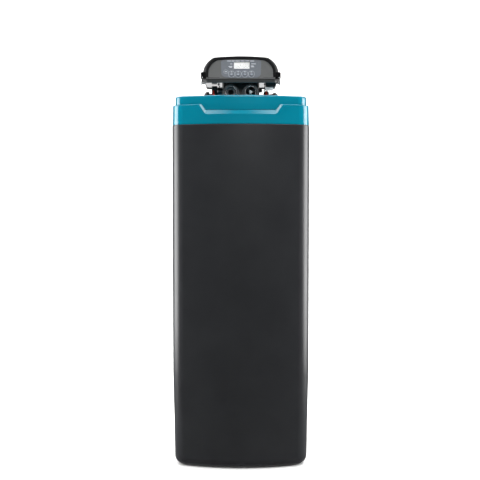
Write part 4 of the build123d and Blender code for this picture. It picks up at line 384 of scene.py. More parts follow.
wound_epoxy, tree, where = new_material("filament_wound_glass_epoxy")
centred = add_node(
    tree,
    "ShaderNodeVectorMath",
    {"operation": "SUBTRACT", 1: (tank_middle.x, tank_middle.y, 0.0)},
    {0: where},
)
split = add_node(tree, "ShaderNodeSeparateXYZ", links={"Vector": centred.outputs["Vector"]})
angle = add_node(
    tree,
    "ShaderNodeMath",
    {"operation": "ARCTAN2"},
    {0: split.outputs["Y"], 1: split.outputs["X"]},
)
winding = math.radians(WINDING_ANGLE_DEG)
bands_round = round(2 * math.pi * tank_radius * math.cos(winding) * 1000.0 / ROVING_BAND_MM)
climb = bands_round / tank_radius * math.tan(winding)
waves = []
for lay in (-1, 1):
    rise = add_node(
        tree, "ShaderNodeMath", {"operation": "MULTIPLY", 1: lay * climb}, {0: split.outputs["Z"]}
    )
    phase = add_node(
        tree,
        "ShaderNodeMath",
        {"operation": "MULTIPLY_ADD", 1: float(bands_round)},
        {0: angle.outputs["Value"], 2: rise.outputs["Value"]},
    )
    waves.append(
        add_node(tree, "ShaderNodeMath", {"operation": "SINE"}, {0: phase.outputs["Value"]})
    )
crossing = add_node(
    tree,
    "ShaderNodeMath",
    {"operation": "MAXIMUM"},
    {0: waves[0].outputs["Value"], 1: waves[1].outputs["Value"]},
)
level = add_node(
    tree, "ShaderNodeMapRange", {"From Min": -1.0}, {"Value": crossing.outputs["Value"]}
)
bump = relief(tree, level.outputs["Result"], depth_mm=0.2)
finish_material(
    tree,
    {"Roughness": 0.3, "IOR": 1.55, "Coat Weight": 0.4, "Coat Roughness": 0.08},
    {
        "Base Color": two_tone(tree, level.outputs["Result"], "#8d928e", "#b4b8b2", 0.2, 0.9),
        "Normal": bump,
    },
)
dress(wound_epoxy, "resin_tank")

# Riser tube, its two strainer baskets, the pickup tube and the brine well: extruded or
# moulded in grey-white PVC, pushed together without glue.

# Extruded PVC: off-white, a soft shine, faint die lines a few millimetres apart.
pipe_pvc = moulded(
    "extruded_pvc_off_white",
    dark="#c3c4bf",
    light="#cccdc9",
    roughness=0.33,
    cloud_mm=60.0,
    grain_mm=3.0,
    grain_depth_mm=0.02,
    shader={"IOR": 1.53},
)
dress(pipe_pvc, "riser_tube", "bottom_basket", "top_basket", "pickup_tube", "brine_well")

# Resin bed: loose amber beads of ion exchange resin, half a millimetre across when real.
# They are poured in round the riser tube.

# Wet resin beads: glassy amber grains, drawn 2.5 mm across so that they show as grains.
# Each is pale amber in its middle and painted dark brown towards its edge, as the shade
# between grains.
BEAD_DRAWN_MM = 2.5
resin_beads, tree, where = new_material("wet_exchange_resin_beads")
beads = add_node(
    tree,
    "ShaderNodeTexVoronoi",
    {"Scale": 1000.0 / BEAD_DRAWN_MM},
    {"Vector": where},
)
bump = relief(tree, beads.outputs["Distance"], depth_mm=0.6, invert=True)
finish_material(
    tree,
    {"Roughness": 0.25, "IOR": 1.5},
    {
        "Base Color": two_tone(tree, beads.outputs["Distance"], "#a5641c", "#4f2a0a", 0.1, 0.75),
        "Normal": bump,
    },
)
dress(resin_beads, "resin_bed")

# Seal between the tank's top and the valve's collar, which squeezes it, and the ball that
# lies loose in the air check's cage: both moulded in nitrile rubber.

# Moulded nitrile: soft black with a powdery bloom that takes the shine off.
nitrile = moulded(
    "moulded_nitrile_rubber",
    dark="#161617",
    light="#222223",
    roughness=0.62,
    cloud_mm=12.0,
    grain_mm=0.6,
    grain_depth_mm=0.02,
    shader={"IOR": 1.52, "Sheen Weight": 0.15, "Sheen Roughness": 0.5},
)
dress(nitrile, "neck_seal", "check_ball")

# Control valve: block, collar and all water fittings are moulded in black nylon with glass
# fibre, which leaves a silky surface with pale fibre ends near the gates.

# Glass-filled nylon: near black, silky, with a fine fleck from the fibres.
valve_nylon = moulded(
    "glass_filled_nylon_black",
    dark="#0c0d0e",
    light="#191a1b",
    roughness=0.34,
    cloud_mm=7.0,
    grain_mm=0.9,
    grain_depth_mm=0.02,
    shader={"IOR": 1.53},
)
dress(
    valve_nylon,
    "valve_body",
    "chamber_cap",
    "inlet_nut",
    "outlet_nut",
    "drain_elbow",
    "brine_elbow",
    "brine_nut",
    "injector_cap",
    "inlet_probe",
    "meter_sensor",
)

# Tails of the two ports: moulded nylon stubs with a 1 1/4 inch pipe thread and a flange
# that the union nut holds in its port.

# Threaded nylon: the same black nylon, ringed by thread crests 2.3 mm apart. The crests
# are painted a little lighter and the roots darker, as painted highlight and shade.
THREAD_PITCH_MM = 2.309
thread_nylon, tree, where = new_material("glass_filled_nylon_threaded")
split = add_node(tree, "ShaderNodeSeparateXYZ", links={"Vector": where})
turns = add_node(
    tree,
    "ShaderNodeMath",
    {"operation": "PINGPONG", 1: THREAD_PITCH_MM / 2000.0},
    {0: split.outputs["Y"]},
)
level = add_node(
    tree,
    "ShaderNodeMapRange",
    {"From Max": THREAD_PITCH_MM / 2000.0},
    {"Value": turns.outputs["Value"]},
)
bump = relief(tree, level.outputs["Result"], depth_mm=0.6, strength=0.8)
finish_material(
    tree,
    {"Roughness": 0.3, "IOR": 1.53},
    {
        "Base Color": two_tone(tree, level.outputs["Result"], "#0b0c0d", "#1b1c1e", 0.0, 1.0),
        "Normal": bump,
    },
)
dress(thread_nylon, "inlet_tail", "outlet_tail")

# Insert in the inlet: a moulded grey acetal bush with a hexagonal bore for a key, pushed
# into the tail.

# Moulded acetal, grey: waxy and cool grey.
insert_acetal = moulded(
    "moulded_acetal_grey",
    dark="#4c4e50",
    light="#5b5d5f",
    roughness=0.35,
    cloud_mm=9.0,
    grain_mm=1.0,
    grain_depth_mm=0.01,
    shader={"IOR": 1.48},
)
dress(insert_acetal, "inlet_insert")

# Meter turbine: three twisted blades on a hub, moulded in white acetal. It spins on the
# axle of a spider in the outlet's tail.

# Moulded acetal: white, waxy, with a clean shine. The blades beyond about 5 mm from the
# axle are painted dark, as the shade inside the bore.
BORE_SHADE_FROM_MM = 5.2
turbine_low, turbine_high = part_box("meter_turbine")
outlet_x = (turbine_low.x + turbine_high.x) / 2
outlet_z = (turbine_low.z + turbine_high.z) / 2
turbine_acetal_painted_shade, tree, where = new_material("acetal_white_with_painted_bore_shade")
flattened = add_node(
    tree,
    "ShaderNodeVectorMath",
    {"operation": "MULTIPLY", 1: (1.0, 0.0, 1.0)},
    {0: where},
)
from_axle = add_node(
    tree,
    "ShaderNodeVectorMath",
    {"operation": "DISTANCE", 1: (outlet_x, 0.0, outlet_z)},
    {0: flattened.outputs["Vector"]},
)
reach = add_node(
    tree,
    "ShaderNodeMapRange",
    {"From Max": 2 * BORE_SHADE_FROM_MM / 1000.0},
    {"Value": from_axle.outputs["Value"]},
)
finish_material(
    tree,
    {"Roughness": 0.28, "IOR": 1.48},
    {"Base Color": two_tone(tree, reach.outputs["Result"], "#f2f2f0", "#2a2b2c", 0.46, 0.58)},
)
dress(turbine_acetal_painted_shade, "meter_turbine")

# Discs and gears: the fixed disc is lapped alumina. The moving disc with its shaft, the
# large gear and the motor's pinion are moulded in cream acetal.

# Lapped alumina: dense ivory ceramic with a cold, even polish.
lapped_alumina = moulded(
    "lapped_alumina",
    dark="#dcd9cf",
    light="#e6e3da",
    roughness=0.14,
    cloud_mm=5.0,
    grain_mm=0.5,
    grain_depth_mm=0.002,
    shader={"IOR": 1.76},
)
dress(lapped_alumina, "fixed_disc")

# Moulded acetal, cream: waxy cream with faint flow clouds, the usual gear plastic.
gear_acetal = moulded(
    "moulded_acetal_cream",
    dark="#d2cfc2",
    light="#dfdccf",
    roughness=0.36,
    cloud_mm=10.0,
    grain_mm=1.2,
    grain_depth_mm=0.015,
    shader={"IOR": 1.48},
)
dress(gear_acetal, "moving_disc", "drive_gear", "motor_pinion")

# Clips: moulded red nylon forks that lock the two elbows. Each is pushed in from the front
# by its wedge, and its two legs run in slots.

# Moulded nylon, red: bright, slightly orange, with a sharp moulded shine.
clip_nylon = moulded(
    "moulded_nylon_red",
    dark="#f43a28",
    light="#ff4a36",
    roughness=0.3,
    cloud_mm=6.0,
    grain_mm=0.9,
    grain_depth_mm=0.01,
    shader={"IOR": 1.53, "Subsurface Weight": 0.08, "Subsurface Radius": (0.002, 0.0005, 0.0003)},
)
dress(clip_nylon, "drain_clip", "brine_clip")

# Leads of the meter sensor and of the probe: two-core PVC leads, with a soft grommet where
# each goes through the floor of the hood base.
POINTED_MM = 0.01
SHARP_ANGLE_DEG = 35.0


def turned(name, profile, centre, axis, material, steps=32, capped=True):
    """A turned piece: (radius, height) points in mm swung about an axis through a centre."""
    along = Vector(axis).normalized()
    across = along.orthogonal().normalized()
    third = along.cross(across)
    points = []
    for radius, height in profile:
        for step in range(steps):
            turn = 2 * math.pi * step / steps
            spoke = across * math.cos(turn) + third * math.sin(turn)
            points.append(Vector(centre) + (spoke * radius + along * height) / 1000.0)
    faces = []
    for ring in range(len(profile) - 1):
        for step in range(steps):
            following = (step + 1) % steps
            faces.append(
                (
                    ring * steps + step,
                    ring * steps + following,
                    (ring + 1) * steps + following,
                    (ring + 1) * steps + step,
                )
            )
    for ring in (0, len(profile) - 1):
        if capped and profile[ring][0] > POINTED_MM:
            faces.append([ring * steps + step for step in range(steps)])
    piece = mesh_piece(name, points, faces, material, smooth=True)
    shape = bmesh.new()
    shape.from_mesh(piece.data)
    bmesh.ops.recalc_face_normals(shape, faces=shape.faces)
    shape.to_mesh(piece.data)
    shape.free()
    piece.data.set_sharp_from_angle(angle=math.radians(SHARP_ANGLE_DEG))
    return piece


def fasten(piece, body):
    """Makes a piece ride on a body."""
    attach(piece, body)


# Flexible PVC: dull black jacket, a little oily where it bends.
lead_pvc = moulded(
    "flexible_pvc_black",
    dark="#121213",
    light="#1c1c1d",
    roughness=0.42,
    cloud_mm=10.0,
    grain_mm=1.0,
    grain_depth_mm=0.015,
    shader={"IOR": 1.53},
)
dress(lead_pvc, "meter_lead", "probe_lead")
GROMMET_PROFILE = [(1.5, -2.2), (2.3, -2.2), (2.8, -1.6), (3.1, -0.5), (3.1, -0.05), (1.5, -0.05)]
LEAD_RADIUS = 0.0013
for side, lead in (("left", "probe_lead"), ("right", "meter_lead")):
    lead_low, lead_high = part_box(lead)
    exit_x = lead_low.x + LEAD_RADIUS if side == "left" else lead_high.x - LEAD_RADIUS
    mouth = (exit_x, (lead_low.y + lead_high.y) / 2, lead_high.z)
    grommet = turned(f"lead_grommet_{side}", GROMMET_PROFILE, mouth, (0, 0, 1), lead_pvc, steps=24)
    fasten(grommet, "softener")

# Hose cuffs: two barrel-shaped cuffs moulded in the valve's nylon, pushed over the drain
# elbow's barb and over the brine nut's end.
CUFF_PROFILE = [
    (10.7, -6.5),
    (11.6, -6.5),
    (12.9, -5.2),
    (13.6, -2.5),
    (13.8, 0.0),
    (13.6, 2.5),
    (12.9, 5.2),
    (11.6, 6.5),
    (10.7, 6.5),
    (10.7, -6.5),
]
drain_low, drain_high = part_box("drain_elbow")
hose_nut_low, hose_nut_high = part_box("brine_nut")
BARB_DROP_MM = 7.0
CUFF_FROM_TIP_MM = 9.5
outlet_low, outlet_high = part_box("outlet_nut")
drain_spot = Vector(
    (
        drain_low.x + CUFF_FROM_TIP_MM / 1000.0,
        (drain_low.y + drain_high.y) / 2,
        (outlet_low.z + outlet_high.z) / 2 - BARB_DROP_MM / 1000.0,
    )
)
hose_nut_middle = (hose_nut_low + hose_nut_high) / 2
brine_spot = Vector(
    (hose_nut_high.x - CUFF_FROM_TIP_MM / 1000.0, hose_nut_middle.y, hose_nut_middle.z)
)
for cuff_name, spot in (("drain_cuff", drain_spot), ("brine_cuff", brine_spot)):
    cuff = turned(cuff_name, CUFF_PROFILE, spot, (1, 0, 0), valve_nylon, steps=40, capped=False)
    fasten(cuff, "softener")

# Hood base and hood: ABS moulded in polished tools, the base charcoal and the hood black.
# The base carries the drive, and the hood lifts off it.

# Polished ABS, black: piano gloss with a barely seen flow ripple.
hood_abs = moulded(
    "polished_abs_black",
    dark="#08090a",
    light="#0e0f10",
    roughness=0.12,
    cloud_mm=60.0,
    grain_mm=10.0,
    grain_depth_mm=0.008,
    shader={"IOR": 1.54},
)
dress(hood_abs, "hood_shell")

# Polished ABS: charcoal gloss below, and along its top a dull black band of painted shadow,
# where the seam under the hood falls in shade.
SHADOW_BAND_FROM_MM = 1080.9
SHADOW_BAND_BLEND_MM = 0.3
FLOW_MM = 10.0
tray_abs_painted_shadow, tree, where = new_material("polished_abs_charcoal_with_painted_shadow_band")
split = add_node(tree, "ShaderNodeSeparateXYZ", links={"Vector": where})
painted_shadow_band = add_node(
    tree,
    "ShaderNodeMapRange",
    {
        "From Min": (SHADOW_BAND_FROM_MM - SHADOW_BAND_BLEND_MM) / 1000.0,
        "From Max": (SHADOW_BAND_FROM_MM + SHADOW_BAND_BLEND_MM) / 1000.0,
    },
    {"Value": split.outputs["Z"]},
)
dulled = add_node(
    tree,
    "ShaderNodeMapRange",
    {"To Min": 0.16, "To Max": 0.6},
    {"Value": painted_shadow_band.outputs["Result"]},
)
flow = add_node(
    tree,
    "ShaderNodeTexNoise",
    {"Scale": 1000.0 / FLOW_MM, "Detail": 2.0},
    {"Vector": where},
)
bump = relief(tree, flow.outputs["Fac"], depth_mm=0.008)
finish_material(
    tree,
    {"IOR": 1.54},
    {
        "Base Color": two_tone(tree, painted_shadow_band.outputs["Result"], "#383939", "#040404", 0.0, 1.0),
        "Roughness": dulled.outputs["Result"],
        "Normal": bump,
    },
)
dress(tray_abs_painted_shadow, "hood_base")

# Power socket under the base's right end, moulded in matt black ABS, and the boot of clear
# dipped vinyl that covers its leads.

# Textured ABS: charcoal black with a spark-eroded grain.
socket_abs = moulded(
    "spark_eroded_abs_black",
    dark="#0e0e0f",
    light="#171718",
    roughness=0.48,
    cloud_mm=15.0,
    grain_mm=0.5,
    grain_depth_mm=0.03,
    shader={"IOR": 1.54},
)
dress(socket_abs, "power_socket")

# Dipped vinyl: milky clear, soft-edged, with a slow swirl in its wall.
boot_vinyl = moulded(
    "dipped_vinyl_clear",
    dark="#e3e6e8",
    light="#eef0f1",
    roughness=0.22,
    cloud_mm=8.0,
    grain_mm=3.0,
    grain_depth_mm=0.05,
    shader={"IOR": 1.52, "Transmission Weight": 0.6},
)
dress(boot_vinyl, "socket_boot")

# Latch wires and strikes: the bails are bent from hard-drawn spring wire, and the strikes
# are stamped from strip and set into the base's ends.

# Drawn spring wire: bright steel with lengthwise die marks.
spring_wire = bright_metal(
    "drawn_spring_steel", "#9ea1a5", "#d4d6d8", 0.2, streak_mm=0.8, stretch=(1.0, 0.15, 0.15)
)
dress(spring_wire, "latch_left", "latch_right", "latch_strikes")

# Timer drive: a small geared motor in a zinc-plated case hangs on a bent bracket, whose
# legs stand in the base. Two insulated terminals stand on its top.
dress(zinc_plate, "motor", "motor_bracket")
motor_low, motor_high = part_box("motor")
motor_middle = (motor_low + motor_high) / 2
TERMINAL_PROFILE = [(0.0, 5.0), (1.1, 5.0), (1.3, 4.6), (1.3, 1.2), (2.4, 0.9), (2.4, 0.05)]
TERMINAL_REACH = 0.006
for side, side_name in ((-1, "outer"), (1, "inner")):
    spot = (motor_middle.x + side * TERMINAL_REACH, motor_middle.y, motor_high.z)
    terminal = turned(
        f"motor_terminal_{side_name}", TERMINAL_PROFILE, spot, (0, 0, 1), zinc_plate, steps=20
    )
    fasten(terminal, "softener")

# Port rings: a snap ring of spring wire in each tail's mouth, and a bead round each nut's
# and each tail's front edge, coloured pale grey as a painted highlight.
RING_SPANS = 64
WIRE_SIDES = 10


def wire_ring(name, centre, radius, wire, material, opening_deg=0.0):
    """A round ring of wire facing the front, in mm about a centre, open or closed."""
    arc = math.radians(360.0 - opening_deg)
    closed = opening_deg == 0.0
    stations = RING_SPANS if closed else RING_SPANS + 1
    points = []
    for step in range(stations):
        turn = math.radians(-90.0 + opening_deg / 2) + arc * step / RING_SPANS
        spoke = Vector((math.cos(turn), 0.0, math.sin(turn)))
        for side in range(WIRE_SIDES):
            lean = 2 * math.pi * side / WIRE_SIDES
            offset = spoke * (radius + wire * math.cos(lean))
            offset += Vector((0, wire * math.sin(lean), 0))
            points.append(Vector(centre) + offset / 1000.0)
    faces = []
    for step in range(RING_SPANS):
        here, there = step * WIRE_SIDES, (step + 1) % stations * WIRE_SIDES
        for side in range(WIRE_SIDES):
            following = (side + 1) % WIRE_SIDES
            faces.append((here + side, there + side, there + following, here + following))
    if not closed:
        faces.append(list(range(WIRE_SIDES - 1, -1, -1)))
        faces.append(list(range(RING_SPANS * WIRE_SIDES, stations * WIRE_SIDES)))
    return mesh_piece(name, points, faces, material, smooth=True)


# Nylon with a painted highlight: the same plastic coloured pale grey, as pale as the glint
# on a moulded edge looks.
glint_painted_nylon = moulded(
    "nylon_painted_glint_grey",
    dark="#6a6c6e",
    light="#77797b",
    roughness=0.25,
    cloud_mm=6.0,
    grain_mm=2.0,
    grain_depth_mm=0.004,
    shader={"IOR": 1.53},
)
SNAP_RADIUS_MM = 15.6
SNAP_WIRE_MM = 0.55
SNAP_GAP_DEG = 24.0
TAIL_BEAD_RADIUS_MM = 20.1
TAIL_BEAD_WIRE_MM = 0.5
NUT_BEAD_INSET_MM = 2.6
NUT_BEAD_WIRE_MM = 0.6
BEAD_SINK = Vector((0.0, 0.0003, 0.0))
for side in ("inlet", "outlet"):
    tail_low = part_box(f"{side}_tail")[0]
    nut_low, nut_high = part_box(f"{side}_nut")
    port = Vector(((nut_low.x + nut_high.x) / 2, tail_low.y, (nut_low.z + nut_high.z) / 2))
    snap_ring = wire_ring(
        f"{side}_snap_ring", port, SNAP_RADIUS_MM, SNAP_WIRE_MM, spring_wire, SNAP_GAP_DEG
    )
    fasten(snap_ring, "softener")
    tail_glint_bead = wire_ring(
        f"{side}_tail_glint_bead", port + BEAD_SINK, TAIL_BEAD_RADIUS_MM, TAIL_BEAD_WIRE_MM, glint_painted_nylon
    )
    fasten(tail_glint_bead, "softener")
    nut_front = Vector((port.x, nut_low.y, port.z))
    nut_bead_radius = (nut_high.x - nut_low.x) / 2 * 1000.0 - NUT_BEAD_INSET_MM
    nut_glint_bead = wire_ring(
        f"{side}_nut_glint_bead", nut_front + BEAD_SINK, nut_bead_radius, NUT_BEAD_WIRE_MM, glint_painted_nylon
    )
    fasten(nut_glint_bead, "softener")

# Front panel: a satin grey ABS frame let into the hood's face. The keypad, the window and
# the board are fixed to it.

# Satin ABS: mid grey with an even etched grain.
panel_abs = moulded(
    "etched_abs_grey",
    dark="#404141",
    light="#464747",
    roughness=0.42,
    cloud_mm=30.0,
    grain_mm=0.7,
    grain_depth_mm=0.02,
    shader={"IOR": 1.54},
)
dress(panel_abs, "front_panel")

FACE_RISE_MM = 69.7
FACE_LEAN_MM = 38.7
PANEL_SETBACK_MM = 2.0
OVERLAY_THICKNESS_MM = 0.8
OVERLAY_X_MM = 1.0
OVERLAY_FOOT_MM = 3.9
OVERLAY_HEAD_MM = 67.5
OVERLAY_HALF_WIDTH_MM = 60.0
OVERLAY_DRAW_IN_MM = 2.5
OVERLAY_TOP_RADIUS_MM = 8.0
OVERLAY_BOTTOM_RADIUS_MM = 18.0
ARC_STEPS = 10
shell_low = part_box("hood_shell")[0]
face_foot = Vector((0.0, shell_low.y, shell_low.z))
face_up = Vector((0.0, FACE_LEAN_MM, FACE_RISE_MM)).normalized()
face_out = Vector((0.0, -FACE_RISE_MM, FACE_LEAN_MM)).normalized()
overlay_skin = OVERLAY_THICKNESS_MM - PANEL_SETBACK_MM


def face_point(x_mm, up_mm, out_mm):
    """A point of the tilted face, from its foot: across, up the slope, and outwards."""
    return face_foot + (Vector((x_mm, 0, 0)) + face_up * up_mm + face_out * out_mm) / 1000.0


def rounded_outline(corners, radii):
    """Outline points of a polygon with rounded corners, in mm, counter-clockwise."""
    points = []
    count = len(corners)
    for i, radius in enumerate(radii):
        corner = Vector(corners[i])
        back = (Vector(corners[i - 1]) - corner).normalized()
        ahead = (Vector(corners[(i + 1) % count]) - corner).normalized()
        half = back.angle(ahead) / 2
        start = corner + back * radius / math.tan(half)
        end = corner + ahead * radius / math.tan(half)
        middle = corner + (back + ahead).normalized() * radius / math.sin(half)
        for step in range(ARC_STEPS + 1):
            share = step / ARC_STEPS
            spoke = (start - middle).slerp(end - middle, share)
            points.append(middle + spoke)
    return points


def box_corners(low_x, low_up, high_x, high_up):
    """The corners of an upright rectangle on the face, counter-clockwise."""
    return [(low_x, low_up), (high_x, low_up), (high_x, high_up), (low_x, high_up)]


def face_plate(name, outline, low_out, high_out, edge, material):
    """A thin plate on the hood's face, from its outline, with a softened front edge."""
    centre = sum(outline, Vector((0.0, 0.0))) / len(outline)
    reach = max((point - centre).length for point in outline)
    drawn_in = [centre + (point - centre) * (1 - edge / reach) for point in outline]
    count = len(outline)
    points = [face_point(*point, low_out) for point in outline]
    points += [face_point(*point, high_out - edge) for point in outline]
    points += [face_point(*point, high_out) for point in drawn_in]
    faces = [list(range(2 * count, 3 * count))]
    for ring in range(2):
        for i in range(count):
            following = (i + 1) % count
            low = ring * count
            faces.append((low + i, low + following, low + count + following, low + count + i))
    fasten(mesh_piece(name, points, faces, material), "hood")


def face_band(name, outer, inner, low_out, high_out, material):
    """A closed band on the hood's face between two outlines, crowned along its middle."""
    count = len(outer)
    middle = [(a + b) / 2 for a, b in zip(outer, inner)]
    points = [face_point(*point, low_out) for point in outer]
    points += [face_point(*point, high_out) for point in middle]
    points += [face_point(*point, low_out) for point in inner]
    faces = []
    for ring in range(2):
        for i in range(count):
            following = (i + 1) % count
            low = ring * count
            faces.append((low + i, low + following, low + count + following, low + count + i))
    fasten(mesh_piece(name, points, faces, material, smooth=True), "hood")


def overlay_outline(draw_in):
    """The keypad overlay's outline, drawn in by a margin."""
    low_half = OVERLAY_HALF_WIDTH_MM - OVERLAY_DRAW_IN_MM - draw_in
    high_half = OVERLAY_HALF_WIDTH_MM - draw_in
    corners = [
        (OVERLAY_X_MM - low_half, OVERLAY_FOOT_MM + draw_in),
        (OVERLAY_X_MM + low_half, OVERLAY_FOOT_MM + draw_in),
        (OVERLAY_X_MM + high_half, OVERLAY_HEAD_MM - draw_in),
        (OVERLAY_X_MM - high_half, OVERLAY_HEAD_MM - draw_in),
    ]
    low_radius = OVERLAY_BOTTOM_RADIUS_MM - draw_in
    high_radius = OVERLAY_TOP_RADIUS_MM - draw_in
    return rounded_outline(corners, [low_radius, low_radius, high_radius, high_radius])


def oval_outline(x_mm, up_mm, half_width, half_height, steps=48):
    """A round or oval outline on the face."""
    turns = [2 * math.pi * step / steps for step in range(steps)]
    return [
        Vector((x_mm + half_width * math.cos(t), up_mm + half_height * math.sin(t))) for t in turns
    ]


# Shadow line: a thin dark band on the panel round the keypad, painted as the shadow of a
# groove there.
GROOVE_OUTER_MM = 2.4
GROOVE_INNER_MM = 0.05
GROOVE_LOW_MM = 0.02
GROOVE_HIGH_MM = 0.06
face_band(
    "overlay_painted_shadow_line",
    overlay_outline(-GROOVE_OUTER_MM),
    overlay_outline(-GROOVE_INNER_MM),
    -PANEL_SETBACK_MM + GROOVE_LOW_MM,
    -PANEL_SETBACK_MM + GROOVE_HIGH_MM,
    socket_abs,
)

# Sill: a bead along the panel's foot on each side of the keypad, coloured pale as a painted
# highlight, under a dark strip of painted shadow.

# Grey ABS painted light: a lighter grey that stands for the highlight along the bead's crown.
sill_highlight_abs = moulded(
    "abs_grey_painted_highlight",
    dark="#6c6d6d",
    light="#777878",
    roughness=0.22,
    cloud_mm=20.0,
    grain_mm=2.0,
    grain_depth_mm=0.004,
    shader={"IOR": 1.54},
)
SILL_SPANS_MM = (("left", -97.0, -63.0), ("right", 66.0, 98.0))
SILL_STRIPS = (
    ("sill_highlight_bead", 0.7, 2.2, 0.5, sill_highlight_abs),
    ("sill_painted_shadow", 2.6, 5.4, 0.06, socket_abs),
)
SILL_CORNER_MM = 0.6
SKIN_GAP_MM = 0.01
SKIN_EDGE_MM = 0.02
for side, start_x, end_x in SILL_SPANS_MM:
    for strip, low_up, high_up, rise, material in SILL_STRIPS:
        corners = box_corners(start_x, low_up, end_x, high_up)
        face_plate(
            f"{strip}_{side}",
            rounded_outline(corners, [SILL_CORNER_MM] * 4),
            -PANEL_SETBACK_MM + SKIN_GAP_MM,
            -PANEL_SETBACK_MM + rise,
            SKIN_EDGE_MM,
            material,
        )

# Keypad overlay: a printed polyester film with a pale bead printed inside its edge, a ring
# round each key, a round mark at the left and plain bars where captions would stand.

# Printed polyester film: blue-grey, matt from its hard coat, with a faint weave of print.
overlay_film = moulded(
    "printed_polyester_film_grey_blue",
    dark="#4c5158",
    light="#545960",
    roughness=0.4,
    cloud_mm=50.0,
    grain_mm=0.5,
    grain_depth_mm=0.004,
    shader={"IOR": 1.57},
)
dress(overlay_film, "keypad_overlay")

# Screen ink, pale: thick matt ink, a little uneven at its edges.
pale_ink = moulded(
    "screen_ink_pale_grey",
    dark="#868b93",
    light="#9297a0",
    roughness=0.5,
    cloud_mm=4.0,
    grain_mm=0.4,
    grain_depth_mm=0.004,
)

# Screen ink, white: the same ink, brighter, for the finest bars and lines.
white_ink = moulded(
    "screen_ink_white",
    dark="#b0b4bb",
    light="#bfc3c9",
    roughness=0.5,
    cloud_mm=4.0,
    grain_mm=0.4,
    grain_depth_mm=0.004,
)
INK_MM = 0.08


def printed_band(name, outer, inner):
    """A band of pale ink on the overlay between two outlines."""
    low_out, high_out = overlay_skin + SKIN_GAP_MM, overlay_skin + INK_MM
    face_band(name, outer, inner, low_out, high_out, pale_ink)


BEAD_OUTER_MM = 0.5
BEAD_INNER_MM = 2.3
printed_band("overlay_bead", overlay_outline(BEAD_OUTER_MM), overlay_outline(BEAD_INNER_MM))
BUTTON_X_MM = -27.1
BUTTON_PITCH_MM = 19.5
BUTTON_UP_MM = 14.6
RING_RISE_MM = 2.6
RING_HALF_WIDTH_MM = 9.7
RING_HALF_HEIGHT_MM = 12.4
RING_LINE_MM = 1.1
for place in range(4):
    ring_spot = (BUTTON_X_MM + place * BUTTON_PITCH_MM, BUTTON_UP_MM + RING_RISE_MM)
    inner_halves = (RING_HALF_WIDTH_MM - RING_LINE_MM, RING_HALF_HEIGHT_MM - RING_LINE_MM)
    printed_band(
        f"button_ring_{place + 1}",
        oval_outline(*ring_spot, RING_HALF_WIDTH_MM, RING_HALF_HEIGHT_MM),
        oval_outline(*ring_spot, *inner_halves),
    )
MARK_SPOT_MM = (-43.7, 25.4)
MARK_RADIUS_MM = 7.2
MARK_INNER_MM = 6.2
printed_band(
    "keypad_mark_ring",
    oval_outline(*MARK_SPOT_MM, MARK_RADIUS_MM, MARK_RADIUS_MM),
    oval_outline(*MARK_SPOT_MM, MARK_INNER_MM, MARK_INNER_MM),
)

# Bars in place of captions: centre across, height up the face, length and height of each.
CAPTION_BARS_MM = [
    (-35.0, 64.6, 11.0, 1.7),
    (-22.5, 64.6, 9.0, 1.7),
    (-9.0, 64.6, 13.0, 1.7),
    (5.5, 64.6, 10.0, 1.7),
    (19.5, 64.6, 12.0, 1.7),
    (34.0, 64.6, 11.0, 1.7),
    (-28.0, 53.8, 6.0, 1.5),
    (-30.5, 44.6, 11.0, 1.5),
    (-29.5, 41.4, 8.0, 1.5),
    (38.0, 54.0, 14.0, 1.5),
    (34.0, 46.6, 7.0, 1.5),
    (35.0, 43.2, 9.0, 1.5),
    (-43.7, 25.4, 6.0, 1.2),
    (-27.1, 24.9, 4.6, 2.2),
    (-7.6, 24.9, 4.6, 1.4),
    (11.9, 24.9, 4.6, 1.4),
    (31.4, 24.9, 4.6, 1.4),
]
CAPTION_ROUND_SHARE = 0.45
for number, (bar_x, bar_up, length, height) in enumerate(CAPTION_BARS_MM, start=1):
    corners = box_corners(
        bar_x - length / 2, bar_up - height / 2, bar_x + length / 2, bar_up + height / 2
    )
    face_plate(
        f"caption_bar_{number}",
        rounded_outline(corners, [height * CAPTION_ROUND_SHARE] * 4),
        overlay_skin + SKIN_GAP_MM,
        overlay_skin + INK_MM,
        SKIN_EDGE_MM,
        white_ink,
    )

# Display: a backlit reflective cell on the board, seen through the clear window. It shows
# plain figures, and a thin white line printed round the window frames it.
WINDOW_X_MM = 2.7
WINDOW_FOOT_MM = 35.4
WINDOW_HALF_WIDTH_MM = 24.4
WINDOW_HEIGHT_MM = 26.7
WINDOW_CORNER_MM = 2.0
CELL_OUT_MM = -4.3
CELL_MARGIN_MM = 0.5
CELL_THICKNESS_MM = 0.15
CELL_EDGE_MM = 0.05


def window_outline(grow):
    """The window's outline, grown by a margin."""
    low = WINDOW_FOOT_MM - grow
    high = WINDOW_FOOT_MM + WINDOW_HEIGHT_MM + grow
    half = WINDOW_HALF_WIDTH_MM + grow
    corners = box_corners(WINDOW_X_MM - half, low, WINDOW_X_MM + half, high)
    return rounded_outline(corners, [WINDOW_CORNER_MM + grow] * 4)


# Cast acrylic: water-clear with a hard gloss.
window_acrylic, tree, where = new_material("cast_acrylic_clear")
ripple = add_node(
    tree, "ShaderNodeTexNoise", {"Scale": 60.0, "Detail": 1.0}, {"Vector": where}
)
bump = relief(tree, ripple.outputs["Fac"], depth_mm=0.003)
finish_material(
    tree,
    {"Roughness": 0.03, "IOR": 1.49, "Transmission Weight": 1.0},
    {
        "Base Color": two_tone(tree, ripple.outputs["Fac"], "#f7f9fa", "#fdfefe"),
        "Normal": bump,
    },
)
dress(window_acrylic, "display_window")

